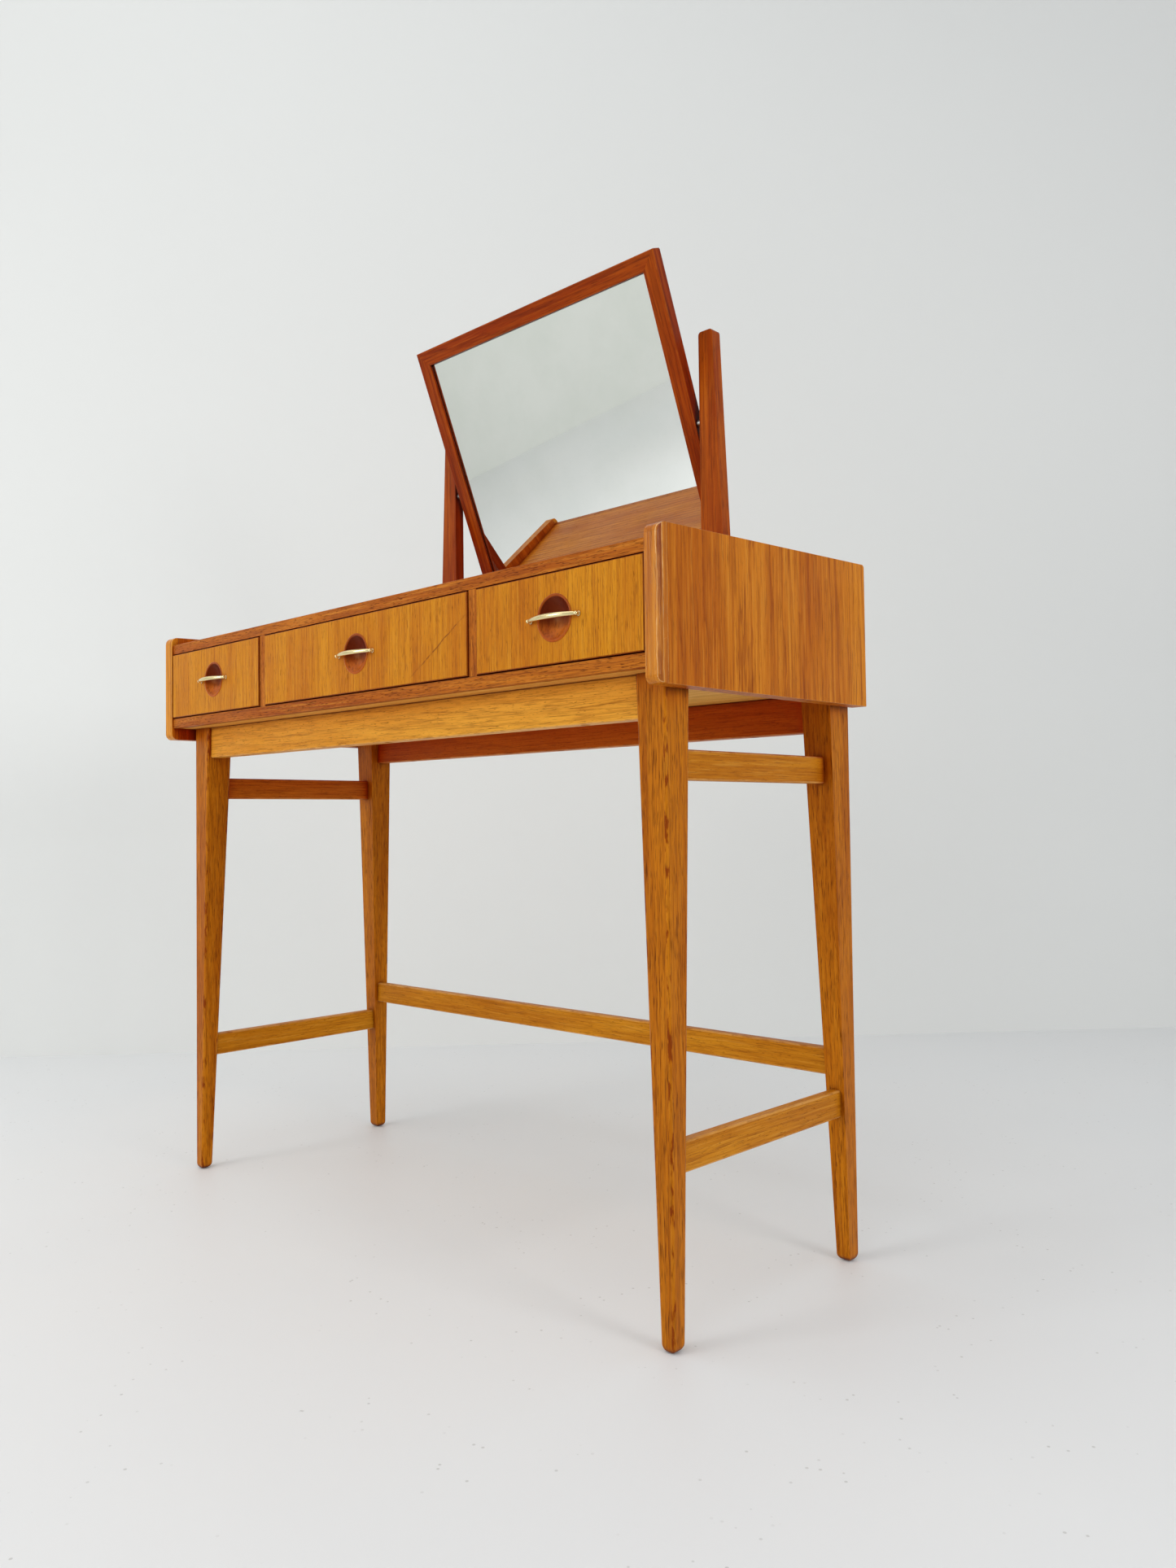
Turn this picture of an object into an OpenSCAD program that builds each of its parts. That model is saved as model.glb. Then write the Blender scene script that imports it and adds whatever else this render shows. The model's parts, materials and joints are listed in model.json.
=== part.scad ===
// Dressing table with three drawers, an open leg frame and a mirror that tilts between two posts.
// X runs to the right, Y to the back and Z up. The floor is Z = 0, and the origin is the middle of
// the whole object's footprint, so every Y is worked out from case_front or case_back.

/* [Case] */
// Width of the case over its side panels
case_w = 900; // [760:5:1150]
// Depth of the case from front edge to back edge
case_d = 342; // [280:5:420]
// Height of the bottom board's underside above the floor, which is also the length of the legs
leg_h = 608; // [500:1:740]
// Thickness of the side panels
panel_t = 18; // [15:0.5:24]
// How far the side panels hang below the bottom board
panel_drop = 15.5; // [8:0.5:30]
// Height of the side panels above the table top at the front
lip_front = 11; // [6:0.5:20]
// Height of the side panels above the table top at the back
lip_back = 22.5; // [11:0.5:40]
// Thickness of the top board and the bottom board
board_t = 13; // [11:0.5:19]
// How far the boards' front edges sit behind the side panels' front edges
board_setback = 2; // [1:0.5:8]
// Depth of the solid lipping strips on the front edges
lipping_d = 10; // [9:0.5:15]
// Radius of the side panels' front corners
corner_r = 8; // [3:0.5:9]
// Radius of the side panels' top back corner
back_corner_r = 4; // [2:0.5:8]
// Thickness of the back panel
back_t = 4; // [3:0.5:8]

/* [Drawers] */
// Clear height of the drawer bays
bay_h = 89; // [78:1:130]
// Clear width of each outer drawer bay
side_bay_w = 226; // [180:1:280]
// Thickness of the two dividers
divider_t = 12; // [10:0.5:18]
// Gap round each drawer front
front_gap = 1.2; // [0.8:0.1:3]
// How far the drawer fronts sit behind the side panels' front edges
front_inset = 0.5; // [0:0.5:3]
// Thickness of the drawer fronts
front_t = 16; // [16:0.5:22]
// Size of the wooden blocks that stop the drawers
stop_size = 12; // [8:1:20]
// How far the drawer sides stop below the top of the bay
side_drop = 16.7; // [4:0.1:24]
// Thickness of the drawer sides and backs
side_t = 8; // [7:0.5:12]
// Thickness of the drawer bottoms
bottom_t = 4; // [3:0.5:6]

/* [Pulls] */
// Diameter of the turned cup in each drawer front
cup_d = 46; // [36:0.5:54]
// Depth of the cup's hole in the drawer front
cup_depth = 12; // [9:0.5:13]
// Width of the cup's flat rim
cup_rim = 2.2; // [1.5:0.1:4]
// Distance from the cup's edge to the middle of each of the bar's feet
foot_gap = 9; // [4:0.5:20]
// How far the bar bows out beyond its feet
pull_bow = 8; // [5:0.5:14]
// Diameter of the bar
bar_d = 4; // [3:0.1:6]
// Diameter of the bar's feet
foot_d = 5.2; // [5:0.1:8]
// Height of the bar's feet
foot_h = 3.5; // [3:0.1:6]

/* [Mirror] */
// Width of the mirror frame
mirror_w = 445; // [340:1:560]
// Height of the mirror frame
mirror_h = 412; // [320:1:440]
// Width of the frame's face
frame_face = 21; // [19:0.5:30]
// Thickness of the frame
frame_t = 15; // [14:0.5:20]
// Lean of the mirror at rest, with its top to the front, in degrees
mirror_lean = 22; // [0:1:40]
// Gap between the table top and the mirror's lower edge when it hangs upright
mirror_gap = 28; // [15:1:60]
// Gap between the frame and each post
pivot_gap = 7; // [4:0.5:12]
// Diameter of the pivot pins
pin_d = 5; // [4:0.5:6]
// Thickness of the glass
glass_t = 3; // [3:0.5:4]
// Thickness of the backing board behind the glass
backing_t = 3; // [2:0.5:3]

/* [Posts] */
// How far the posts rise above the pivots
post_over_pivot = 108; // [40:1:160]
// Width of a post at its top
post_w_top = 21; // [20:0.5:30]
// Width of a post at its foot
post_w_foot = 42; // [34:0.5:54]
// Thickness of the posts
post_t = 15; // [14:0.5:22]

/* [Leg frame] */
// Size of a leg's square section at the top
leg_top = 36; // [30:0.5:44]
// Size of a leg's square section at the floor
leg_foot = 16; // [14:0.5:24]
// How far the legs' outer faces sit inside the case's sides
leg_inset_side = 22.5; // [18:0.5:60]
// How far the front legs sit behind the case's front
leg_inset_front = 32; // [10:0.5:60]
// How far the rear legs sit in front of the case's back
leg_inset_back = 1; // [0:0.5:30]
// Height of the aprons
apron_h = 41.5; // [36:0.5:60]
// Thickness of the aprons
apron_t = 18; // [16:0.5:22]
// How far the aprons' outer faces sit inside the legs' faces
apron_setback = 5; // [2:0.5:9]
// Thickness of the rails between the legs
rail_t = 12; // [11:0.5:14]
// Height of the rails between the legs
rail_h = 29; // [24:0.5:34]
// Distance from the bottom board down to the upper side rails
upper_rail_drop = 69; // [62:1:150]
// Height of the lower side rails' underside above the floor
lower_rail_z = 154; // [100:1:160]
// Height of the rear rail's underside above the floor
rear_rail_z = 196; // [190:1:300]

/* [Fits] */
// Gap between parts that move past each other
clear = 0.3; // [0.3:0.1:0.6]
// Radial play of the pivot pins in the posts
pin_play = 0.05; // [0.02:0.01:0.1]
// Gap between the drawer sides and the bay walls
side_play = 1.2; // [0.8:0.1:3]
// Length of the tenons on rails and aprons
tenon_l = 9; // [6:0.5:10]

/* [Hidden] */
$fn = 96;

// Small overlap that keeps a cutter's face off the face it cuts
cut = 1;

// Heights
bay_z = leg_h + board_t;
top_z = bay_z + bay_h;
table_z = top_z + board_t;
panel_z = leg_h - panel_drop;
pivot_z = table_z + mirror_gap + mirror_h / 2;

// Widths
inner_w = case_w - 2 * panel_t;
middle_bay_w = inner_w - 2 * side_bay_w - 2 * divider_t;
side_bay_x = (inner_w - side_bay_w) / 2;
divider_x = (middle_bay_w + divider_t) / 2;
housing = panel_t / 3;
board_reach = inner_w / 2 + housing;
divider_housing = board_t / 4;

// The object's footprint runs from the bow of the pulls to the lower back corner of the mirror
pull_reach = foot_h + pull_bow + bar_d / 2 - front_inset;
mirror_reach = (post_t + mirror_h * sin(mirror_lean) + frame_t * cos(mirror_lean)) / 2;
case_front = (pull_reach - case_d - mirror_reach) / 2;
case_back = case_front + case_d;
board_front = case_front + board_setback;
board_back = case_back - back_t;
pivot_y = case_back + post_t / 2;

// Drawers
front_y = case_front + front_inset;
box_y = front_y + front_t;
side_z = bay_z + clear;
side_end = board_back - stop_size - clear;
side_h = bay_h - clear - side_drop;
bottom_lift = 6;
bottom_z = side_z + bottom_lift;
stop_inset = 34;
groove = side_t / 2;
tails = 3;
tail_l = front_t - 6;
tail_pitch = (side_h - 4) / tails;
tail_wide = tail_pitch * 0.72;
tail_slope = 1.6;
front_h = bay_h - 2 * front_gap;
pull_z = bay_z + bay_h / 2;
pull_w = cup_d + 2 * foot_gap;
pull_screw_d = 3.2;
pull_head_d = 7;
pull_head_h = 2.2;

// Legs
leg_x = case_w / 2 - leg_inset_side;
leg_y_front = case_front + leg_inset_front;
leg_y_back = case_back - leg_inset_back;
front_apron_y = leg_y_front + apron_setback + apron_t / 2;
rear_apron_y = leg_y_back - apron_setback - apron_t / 2;
upper_rail_z = leg_h - upper_rail_drop - rail_h;
tenon_t = rail_t * 2 / 3;
tenon_shoulder = 4;
screw_rows = [-0.35, 0, 0.35];
screw_shank_d = 4.5;
screw_head_d = 9;
screw_head_h = 3;
screw_bore_d = 10;
screw_grip = 20;
screw_bite = 9;

// Posts and their screws
post_x = mirror_w / 2 + pivot_gap;
post_top = pivot_z + post_over_pivot;
post_screw_x = post_x + post_w_top * 0.7;
post_screw_d = 4;
post_screw_head_d = 8;
post_screw_head_h = 2.6;
post_screw_l = post_t + back_t + 20;

// Mirror, drawn upright about its pivot axis and then leaned
rabbet_w = 7;
lip_t = 5;
frame_lip = frame_face - rabbet_w;
glass_play = 1;
glass_w = mirror_w - 2 * (frame_lip + glass_play);
glass_h = mirror_h - 2 * (frame_lip + glass_play);
pin_in_frame = 12;
pin_in_post = 12;
collar_d = 9;
brad_d = 1.4;
brad_l = 14;
brad_in = 6;

// Back panel nails
nail_d = 1.8;
nail_head_d = 4;
nail_head_h = 0.8;
nail_l = back_t + 12;
nail_columns = [-0.46, -0.33, -0.14, 0.14, 0.33, 0.46];

teak = "#b5651d";
teak_dark = "#9a4f1c";
oak = "#d9a24e";
birch = "#e2c79a";

// ---- shared shapes ----

// Fills the corner at [0, 0] outside an arc of radius r that bends towards +X +Y
module corner_notch(r) {
    difference() {
        translate([-cut, -cut]) square(r + cut);
        translate([r, r]) circle(r);
    }
}

// Turns a drawing made in (Y, Z) into a plate from x to x + t
module plate_yz(x, t) {
    translate([x, 0, 0]) rotate([90, 0, 90]) linear_extrude(t) children();
}

module box(x0, x1, y0, y1, z0, z1) {
    translate([x0, y0, z0]) cube([x1 - x0, y1 - y0, z1 - z0]);
}

// ---- case ----

// Height of the side panels' sloping top edge at a given Y
function panel_top(y) = table_z + lip_front + (lip_back - lip_front) * (y - case_front) / case_d;

// The whole side profile in (Y, Z): square at the bottom back, rounded at the other corners
module panel_profile() {
    slope = atan2(lip_back - lip_front, case_d);
    difference() {
        polygon([
            [case_front, panel_z], [case_back, panel_z],
            [case_back, panel_top(case_back)], [case_front, panel_top(case_front)]
        ]);
        translate([case_front, panel_z]) corner_notch(corner_r);
        translate([case_front, panel_top(case_front)]) rotate(slope) mirror([0, 1]) corner_notch(corner_r);
        translate([case_back, panel_top(case_back)]) rotate(180 + slope) corner_notch(back_corner_r);
    }
}

module both_boards() {
    for (z = [leg_h, top_z])
        box(-board_reach, board_reach, board_front, board_back, z, z + board_t);
}

// side is -1 for the left panel and 1 for the right one
module side_panel(side) {
    color(teak) difference() {
        plate_yz(side * (case_w - panel_t) / 2 - panel_t / 2, panel_t) difference() {
            panel_profile();
            translate([case_front - cut, panel_z - cut])
                square([lipping_d + cut, panel_top(case_back) - panel_z + 2 * cut]);
        }
        both_boards();
    }
}

module panel_lipping(side) {
    color(teak) difference() {
        plate_yz(side * (case_w - panel_t) / 2 - panel_t / 2, panel_t) intersection() {
            panel_profile();
            translate([case_front, panel_z]) square([lipping_d, panel_top(case_back) - panel_z]);
        }
        both_boards();
    }
}

// A board of the case, with its ends in the side panels, behind its own lipping strip
module case_board(z) {
    color(teak) difference() {
        box(-board_reach, board_reach, board_front + lipping_d, board_back, z, z + board_t);
        divider_blank(-1);
        divider_blank(1);
        apron_screws();
        post_screws();
        back_panel_nails();
    }
}

module board_lipping(z) {
    color(teak_dark)
        box(-board_reach, board_reach, board_front, board_front + lipping_d, z, z + board_t);
}

// The housings stop behind the lippings, so the front edges of the boards run unbroken
module divider_blank(side) {
    x = side * divider_x;
    box(x - divider_t / 2, x + divider_t / 2, board_front, board_back, bay_z, top_z);
    box(x - divider_t / 2, x + divider_t / 2, board_front + lipping_d, board_back,
        bay_z - divider_housing, top_z + divider_housing);
}

module divider(side) {
    color(teak) divider_blank(side);
}

module back_panel() {
    color(birch) difference() {
        box(-inner_w / 2, inner_w / 2, board_back, case_back, leg_h, table_z);
        post_screws();
        back_panel_nails();
    }
}

module back_panel_nails() {
    color("silver") for (z = [leg_h, top_z], column = nail_columns)
        translate([column * inner_w, case_back, z + board_t / 2]) rotate([90, 0, 0]) {
            cylinder(d = nail_d, h = nail_l);
            translate([0, 0, -nail_head_h]) cylinder(d = nail_head_d, h = nail_head_h);
        }
}

// Two blocks at the back of each bay
module drawer_stops() {
    color(birch) for (bay = [[-side_bay_x, side_bay_w], [0, middle_bay_w], [side_bay_x, side_bay_w]],
                      side = [-1, 1])
        translate([bay[0] + side * (bay[1] / 2 - stop_inset), board_back - stop_size / 2, bay_z])
            translate([0, 0, stop_size / 2]) cube(stop_size, center = true);
}

// ---- drawers ----

// Three tails in (Y, Z) that run from the drawer side into the front
module tail_rows() {
    for (i = [0 : tails - 1])
        translate([box_y, side_z + 2 + tail_pitch * (i + 0.5)])
            polygon([
                [0, -tail_wide / 2 + tail_slope], [0, tail_wide / 2 - tail_slope],
                [-tail_l, tail_wide / 2], [-tail_l, -tail_wide / 2]
            ]);
}

// One drawer side with its tails; side is -1 or 1
module side_blank(x, bay_w, side) {
    outer = bay_w / 2 - side_play;
    plate_yz(side > 0 ? x + outer - side_t : x - outer, side_t) {
        translate([box_y, side_z]) square([side_end - box_y, side_h]);
        tail_rows();
    }
}

module bottom_blank(x, bay_w) {
    half = bay_w / 2 - side_play - groove;
    box(x - half, x + half, box_y - groove, side_end, bottom_z, bottom_z + bottom_t);
}

module drawer_side(x, bay_w, side) {
    color(birch) difference() {
        side_blank(x, bay_w, side);
        bottom_blank(x, bay_w);
    }
}

module drawer_bottom(x, bay_w) {
    color(birch) bottom_blank(x, bay_w);
}

module drawer_back(x, bay_w) {
    half = bay_w / 2 - side_play - side_t;
    color(birch) box(x - half, x + half, side_end - side_t, side_end,
        bottom_z + bottom_t, side_z + side_h - 5);
}

module drawer_front(x, bay_w) {
    half = bay_w / 2 - front_gap;
    color(teak) difference() {
        box(x - half, x + half, front_y, box_y, bay_z + front_gap, bay_z + front_gap + front_h);
        side_blank(x, bay_w, -1);
        side_blank(x, bay_w, 1);
        bottom_blank(x, bay_w);
        translate([x, front_y - cut, pull_z]) rotate([-90, 0, 0]) cylinder(d = cup_d, h = cup_depth + cut);
        pull_screws(x);
    }
}

// A turned cup, sunk in the front, with its rim a little proud
module cup(x) {
    rim_proud = 0.6;
    floor_t = 2;
    r = cup_d / 2;
    bowl_r = r - cup_rim;
    bowl_h = cup_depth + rim_proud - floor_t;
    bowl_sphere = (bowl_r * bowl_r + bowl_h * bowl_h) / (2 * bowl_h);
    color("#5e1a12") translate([x, front_y + cup_depth, pull_z]) rotate([90, 0, 0])
        difference() {
            cylinder(r = r, h = cup_depth + rim_proud);
            translate([0, 0, floor_t + bowl_sphere]) sphere(bowl_sphere);
        }
}

// The brass bar bows forward from two feet
module pull(x) {
    half = pull_w / 2;
    bow_r = (half * half + pull_bow * pull_bow) / (2 * pull_bow);
    half_angle = asin(half / bow_r);
    feet_y = front_y - foot_h;
    color("#d8c07a") difference() {
        union() {
            translate([x, feet_y - pull_bow + bow_r, pull_z]) rotate(-90 - half_angle)
                rotate_extrude(angle = 2 * half_angle) translate([bow_r, 0]) circle(d = bar_d);
            for (side = [-1, 1]) translate([x + side * half, front_y, pull_z]) rotate([90, 0, 0]) {
                cylinder(d = foot_d, h = foot_h);
                translate([0, 0, foot_h]) sphere(d = foot_d);
            }
        }
        pull_screws(x);
    }
}

module pull_screws(x) {
    into_foot = foot_h - 1;
    color("silver") for (side = [-1, 1])
        translate([x + side * pull_w / 2, box_y, pull_z]) rotate([90, 0, 0]) {
            cylinder(d = pull_screw_d, h = front_t + into_foot);
            translate([0, 0, -pull_head_h]) cylinder(d = pull_head_d, h = pull_head_h);
        }
}

// ---- leg frame ----

// A leg with plumb outer faces, which tapers on its two inner faces
module leg_blank(side, back) {
    in_y = back ? -1 : 1;
    outer_y = back ? leg_y_back : leg_y_front;
    intersection() {
        translate([0, outer_y + in_y * leg_top / 2, 0]) rotate([90, 0, 0])
            linear_extrude(leg_top, center = true)
                polygon([
                    [side * leg_x, 0], [side * (leg_x - leg_foot), 0],
                    [side * (leg_x - leg_top), leg_h], [side * leg_x, leg_h]
                ]);
        plate_yz(side * (leg_x - leg_top / 2) - leg_top / 2, leg_top)
            polygon([
                [outer_y, 0], [outer_y + in_y * leg_foot, 0],
                [outer_y + in_y * leg_top, leg_h], [outer_y, leg_h]
            ]);
    }
}

module all_leg_blanks() {
    for (side = [-1, 1], back = [false, true]) leg_blank(side, back);
}

// Width of a leg's section at height z
function leg_at(z) = leg_foot + (leg_top - leg_foot) * z / leg_h;

// Centre of the legs' section at height z, across and along the case
function leg_mid_x(z) = leg_x - leg_at(z) / 2;
function leg_mid_front(z) = leg_y_front + leg_at(z) / 2;
function leg_mid_back(z) = leg_y_back - leg_at(z) / 2;

module leg(side, back) {
    color(oak) difference() {
        leg_blank(side, back);
        side_rail_tenons(side, upper_rail_z);
        side_rail_tenons(side, lower_rail_z);
        rear_rail_tenons();
        apron_tenons(front_apron_y);
        apron_tenons(rear_apron_y);
    }
}

// The side rails' tenons reach from inside one leg to inside the other
module side_rail_tenons(side, z) {
    x = side * leg_mid_x(z + rail_h / 2);
    box(x - tenon_t / 2, x + tenon_t / 2,
        leg_y_front + leg_at(z) - tenon_l, leg_y_back - leg_at(z) + tenon_l,
        z + tenon_shoulder, z + rail_h - tenon_shoulder);
}

module side_rail(side, z) {
    x = side * leg_mid_x(z + rail_h / 2);
    color(oak) {
        difference() {
            box(x - rail_t / 2, x + rail_t / 2, leg_mid_front(z), leg_mid_back(z), z, z + rail_h);
            all_leg_blanks();
        }
        side_rail_tenons(side, z);
    }
}

module rear_rail_tenons() {
    y = leg_mid_back(rear_rail_z + rail_h / 2);
    reach = leg_x - leg_at(rear_rail_z) + tenon_l;
    box(-reach, reach, y - tenon_t / 2, y + tenon_t / 2,
        rear_rail_z + tenon_shoulder, rear_rail_z + rail_h - tenon_shoulder);
}

module rear_low_rail() {
    y = leg_mid_back(rear_rail_z + rail_h / 2);
    reach = leg_mid_x(rear_rail_z);
    color(oak) {
        difference() {
            box(-reach, reach, y - rail_t / 2, y + rail_t / 2, rear_rail_z, rear_rail_z + rail_h);
            all_leg_blanks();
        }
        rear_rail_tenons();
    }
}

// y is the middle of the apron's thickness
module apron_tenons(y) {
    reach = leg_x - leg_top + tenon_l;
    box(-reach, reach, y - tenon_t / 2, y + tenon_t / 2,
        leg_h - apron_h + tenon_shoulder, leg_h - tenon_shoulder);
}

module apron(y) {
    reach = leg_x - leg_top / 2;
    color(oak) difference() {
        union() {
            difference() {
                box(-reach, reach, y - apron_t / 2, y + apron_t / 2, leg_h - apron_h, leg_h);
                all_leg_blanks();
            }
            apron_tenons(y);
        }
        apron_screws();
        for (row = screw_rows) translate([row * case_w, y, leg_h - apron_h - cut])
            cylinder(d = screw_bore_d, h = apron_h - screw_grip + cut);
    }
}

// Screws up through the aprons into the bottom board
module apron_screws() {
    color("silver") for (row = screw_rows, y = [front_apron_y, rear_apron_y])
        translate([row * case_w, y, leg_h - screw_grip]) {
            cylinder(d = screw_shank_d, h = screw_grip + screw_bite);
            translate([0, 0, -screw_head_h]) cylinder(d = screw_head_d, h = screw_head_h);
        }
}

// ---- mirror posts ----

// A post in (X, Z) with a plumb inner edge and a sloping outer edge
module mirror_post(side) {
    top_r = 4;
    color(teak_dark) difference() {
        translate([0, case_back + post_t, 0]) rotate([90, 0, 0]) linear_extrude(post_t)
            mirror([side > 0 ? 0 : 1, 0]) difference() {
                polygon([
                    [post_x, leg_h], [post_x + post_w_foot, leg_h],
                    [post_x + post_w_top, post_top], [post_x, post_top]
                ]);
                translate([post_x, post_top]) mirror([0, 1]) corner_notch(top_r);
                translate([post_x + post_w_top, post_top]) rotate(180) corner_notch(top_r);
            }
        post_screws();
        translate([side * post_x, pivot_y, pivot_z]) rotate([0, side * 90, 0])
            translate([0, 0, -cut]) cylinder(d = pin_d + 2 * pin_play, h = pin_in_post + clear + cut);
    }
}

// Countersunk screws through the posts into the back edges of both boards
module post_screws() {
    color("silver") for (side = [-1, 1], z = [leg_h, top_z])
        translate([side * post_screw_x, case_back + post_t, z + board_t / 2]) rotate([90, 0, 0]) {
            cylinder(d = post_screw_d, h = post_screw_l);
            cylinder(d1 = post_screw_head_d, d2 = post_screw_d, h = post_screw_head_h);
        }
}

// ---- mirror ----

// Carries a shape drawn upright about the pivot axis to its place at rest
module leaned() {
    translate([0, pivot_y, pivot_z]) rotate([mirror_lean, 0, 0]) children();
}

// A rail of the frame along X with its outer edge at +Z, with mitred ends and a rabbet at the back
module frame_rail(length, height) {
    half = length / 2;
    edge = height / 2;
    difference() {
        translate([0, frame_t / 2, 0]) rotate([90, 0, 0]) linear_extrude(frame_t)
            polygon([
                [-half, edge], [half, edge],
                [half - frame_face, edge - frame_face], [-half + frame_face, edge - frame_face]
            ]);
        box(-half, half, lip_t - frame_t / 2, frame_t / 2 + cut,
            edge - frame_face - cut, edge - frame_lip);
    }
}

module mirror_rail(up) {
    color(teak_dark) leaned() difference() {
        mirror([0, 0, up ? 0 : 1]) frame_rail(mirror_w, mirror_h);
        brads();
    }
}

module mirror_stile(side) {
    color(teak_dark) leaned() difference() {
        rotate([0, side * 90, 0]) frame_rail(mirror_h, mirror_w);
        brads();
        pivot_pin(side);
    }
}

module mirror_glass() {
    color("lightsteelblue") leaned()
        translate([-glass_w / 2, lip_t - frame_t / 2, -glass_h / 2]) cube([glass_w, glass_t, glass_h]);
}

module mirror_backing() {
    color(birch) leaned()
        translate([-glass_w / 2, lip_t + glass_t - frame_t / 2, -glass_h / 2])
            cube([glass_w, backing_t, glass_h]);
}

// Headless brads, two a side, that hold the backing board in the rabbet
module brads() {
    y = lip_t + glass_t + backing_t + brad_d / 2 - frame_t / 2;
    for (side = [-1, 1], place = [-0.25, 0.25]) {
        translate([place * mirror_w, y, side * (mirror_h / 2 - frame_lip + brad_in)])
            rotate([side * 90 + 90, 0, 0]) cylinder(d = brad_d, h = brad_l);
        translate([side * (mirror_w / 2 - frame_lip + brad_in), y, place * mirror_h])
            rotate([0, -side * 90, 0]) cylinder(d = brad_d, h = brad_l);
    }
}

module mirror_backing_pins() {
    color("silver") leaned() brads();
}

// A turned pin, fixed in the frame, that turns in the post, with a collar that spaces them
module pivot_pin(side) {
    rotate([0, side * 90, 0]) translate([0, 0, mirror_w / 2]) {
        translate([0, 0, -pin_in_frame]) cylinder(d = pin_d, h = pin_in_frame + pivot_gap + pin_in_post);
        cylinder(d = collar_d, h = pivot_gap - clear);
    }
}

module mirror_pivot_pins() {
    color("silver") leaned() {
        pivot_pin(-1);
        pivot_pin(1);
    }
}

// ---- the nodes ----

side_panel(-1);  // left_side_panel
side_panel(1);  // right_side_panel
panel_lipping(-1);  // left_panel_lipping
panel_lipping(1);  // right_panel_lipping
case_board(top_z);  // top_board
board_lipping(top_z);  // top_board_lipping
case_board(leg_h);  // bottom_board
board_lipping(leg_h);  // bottom_board_lipping
divider(-1);  // left_divider
divider(1);  // right_divider
back_panel();
back_panel_nails();
drawer_stops();
leg(-1, false);  // front_left_leg
leg(1, false);  // front_right_leg
leg(-1, true);  // rear_left_leg
leg(1, true);  // rear_right_leg
apron(front_apron_y);  // front_apron
apron(rear_apron_y);  // rear_apron
side_rail(-1, upper_rail_z);  // upper_left_rail
side_rail(1, upper_rail_z);  // upper_right_rail
side_rail(-1, lower_rail_z);  // lower_left_rail
side_rail(1, lower_rail_z);  // lower_right_rail
rear_low_rail();
apron_screws();
mirror_post(-1);  // left_mirror_post
mirror_post(1);  // right_mirror_post
post_screws();
drawer_front(-side_bay_x, side_bay_w);  // left_drawer_front
drawer_side(-side_bay_x, side_bay_w, -1);  // left_drawer_side_l
drawer_side(-side_bay_x, side_bay_w, 1);  // left_drawer_side_r
drawer_back(-side_bay_x, side_bay_w);  // left_drawer_back
drawer_bottom(-side_bay_x, side_bay_w);  // left_drawer_bottom
cup(-side_bay_x);  // left_drawer_cup
pull(-side_bay_x);  // left_drawer_pull
pull_screws(-side_bay_x);  // left_pull_screws
drawer_front(0, middle_bay_w);  // middle_drawer_front
drawer_side(0, middle_bay_w, -1);  // middle_drawer_side_l
drawer_side(0, middle_bay_w, 1);  // middle_drawer_side_r
drawer_back(0, middle_bay_w);  // middle_drawer_back
drawer_bottom(0, middle_bay_w);  // middle_drawer_bottom
cup(0);  // middle_drawer_cup
pull(0);  // middle_drawer_pull
pull_screws(0);  // middle_pull_screws
drawer_front(side_bay_x, side_bay_w);  // right_drawer_front
drawer_side(side_bay_x, side_bay_w, -1);  // right_drawer_side_l
drawer_side(side_bay_x, side_bay_w, 1);  // right_drawer_side_r
drawer_back(side_bay_x, side_bay_w);  // right_drawer_back
drawer_bottom(side_bay_x, side_bay_w);  // right_drawer_bottom
cup(side_bay_x);  // right_drawer_cup
pull(side_bay_x);  // right_drawer_pull
pull_screws(side_bay_x);  // right_pull_screws
mirror_rail(true);  // mirror_top_rail
mirror_rail(false);  // mirror_bottom_rail
mirror_stile(-1);  // mirror_left_stile
mirror_stile(1);  // mirror_right_stile
mirror_glass();
mirror_backing();
mirror_backing_pins();
mirror_pivot_pins();
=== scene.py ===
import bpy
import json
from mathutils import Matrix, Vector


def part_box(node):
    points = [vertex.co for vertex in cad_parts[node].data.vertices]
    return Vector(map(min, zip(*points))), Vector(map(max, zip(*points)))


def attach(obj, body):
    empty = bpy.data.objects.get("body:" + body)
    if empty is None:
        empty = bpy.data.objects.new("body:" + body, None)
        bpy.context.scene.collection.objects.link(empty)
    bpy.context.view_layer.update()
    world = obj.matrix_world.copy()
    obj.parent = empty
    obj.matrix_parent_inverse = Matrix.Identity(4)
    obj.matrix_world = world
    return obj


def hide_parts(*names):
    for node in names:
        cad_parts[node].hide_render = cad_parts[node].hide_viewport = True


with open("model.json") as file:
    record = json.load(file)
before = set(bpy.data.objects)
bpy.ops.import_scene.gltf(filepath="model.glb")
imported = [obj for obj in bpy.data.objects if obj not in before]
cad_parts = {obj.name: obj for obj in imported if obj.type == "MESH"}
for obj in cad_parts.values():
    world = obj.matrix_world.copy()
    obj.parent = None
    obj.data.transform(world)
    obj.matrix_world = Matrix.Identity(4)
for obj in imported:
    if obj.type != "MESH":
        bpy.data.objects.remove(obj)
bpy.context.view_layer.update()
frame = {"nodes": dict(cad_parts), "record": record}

import json
import math
import random

import bmesh
import bpy
import numpy as np
from mathutils import Matrix, Vector

record = frame["record"]
bodyOf = {node: body for body, nodes in record["behaviour"]["bodies"].items() for node in nodes}
slotOf = {part["node"]: part["material_slot"] for part in record["subparts"]}
print("loaded", len(frame["nodes"]), "parts")


def tone(red, green, blue):
    # screen colour 0-255 to the linear colour that shaders want
    def linear(channel):
        value = channel / 255
        return value / 12.92 if value <= 0.04045 else ((value + 0.055) / 1.055) ** 2.4
    return (linear(red), linear(green), linear(blue), 1.0)


# ---- small helpers for node trees

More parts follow.
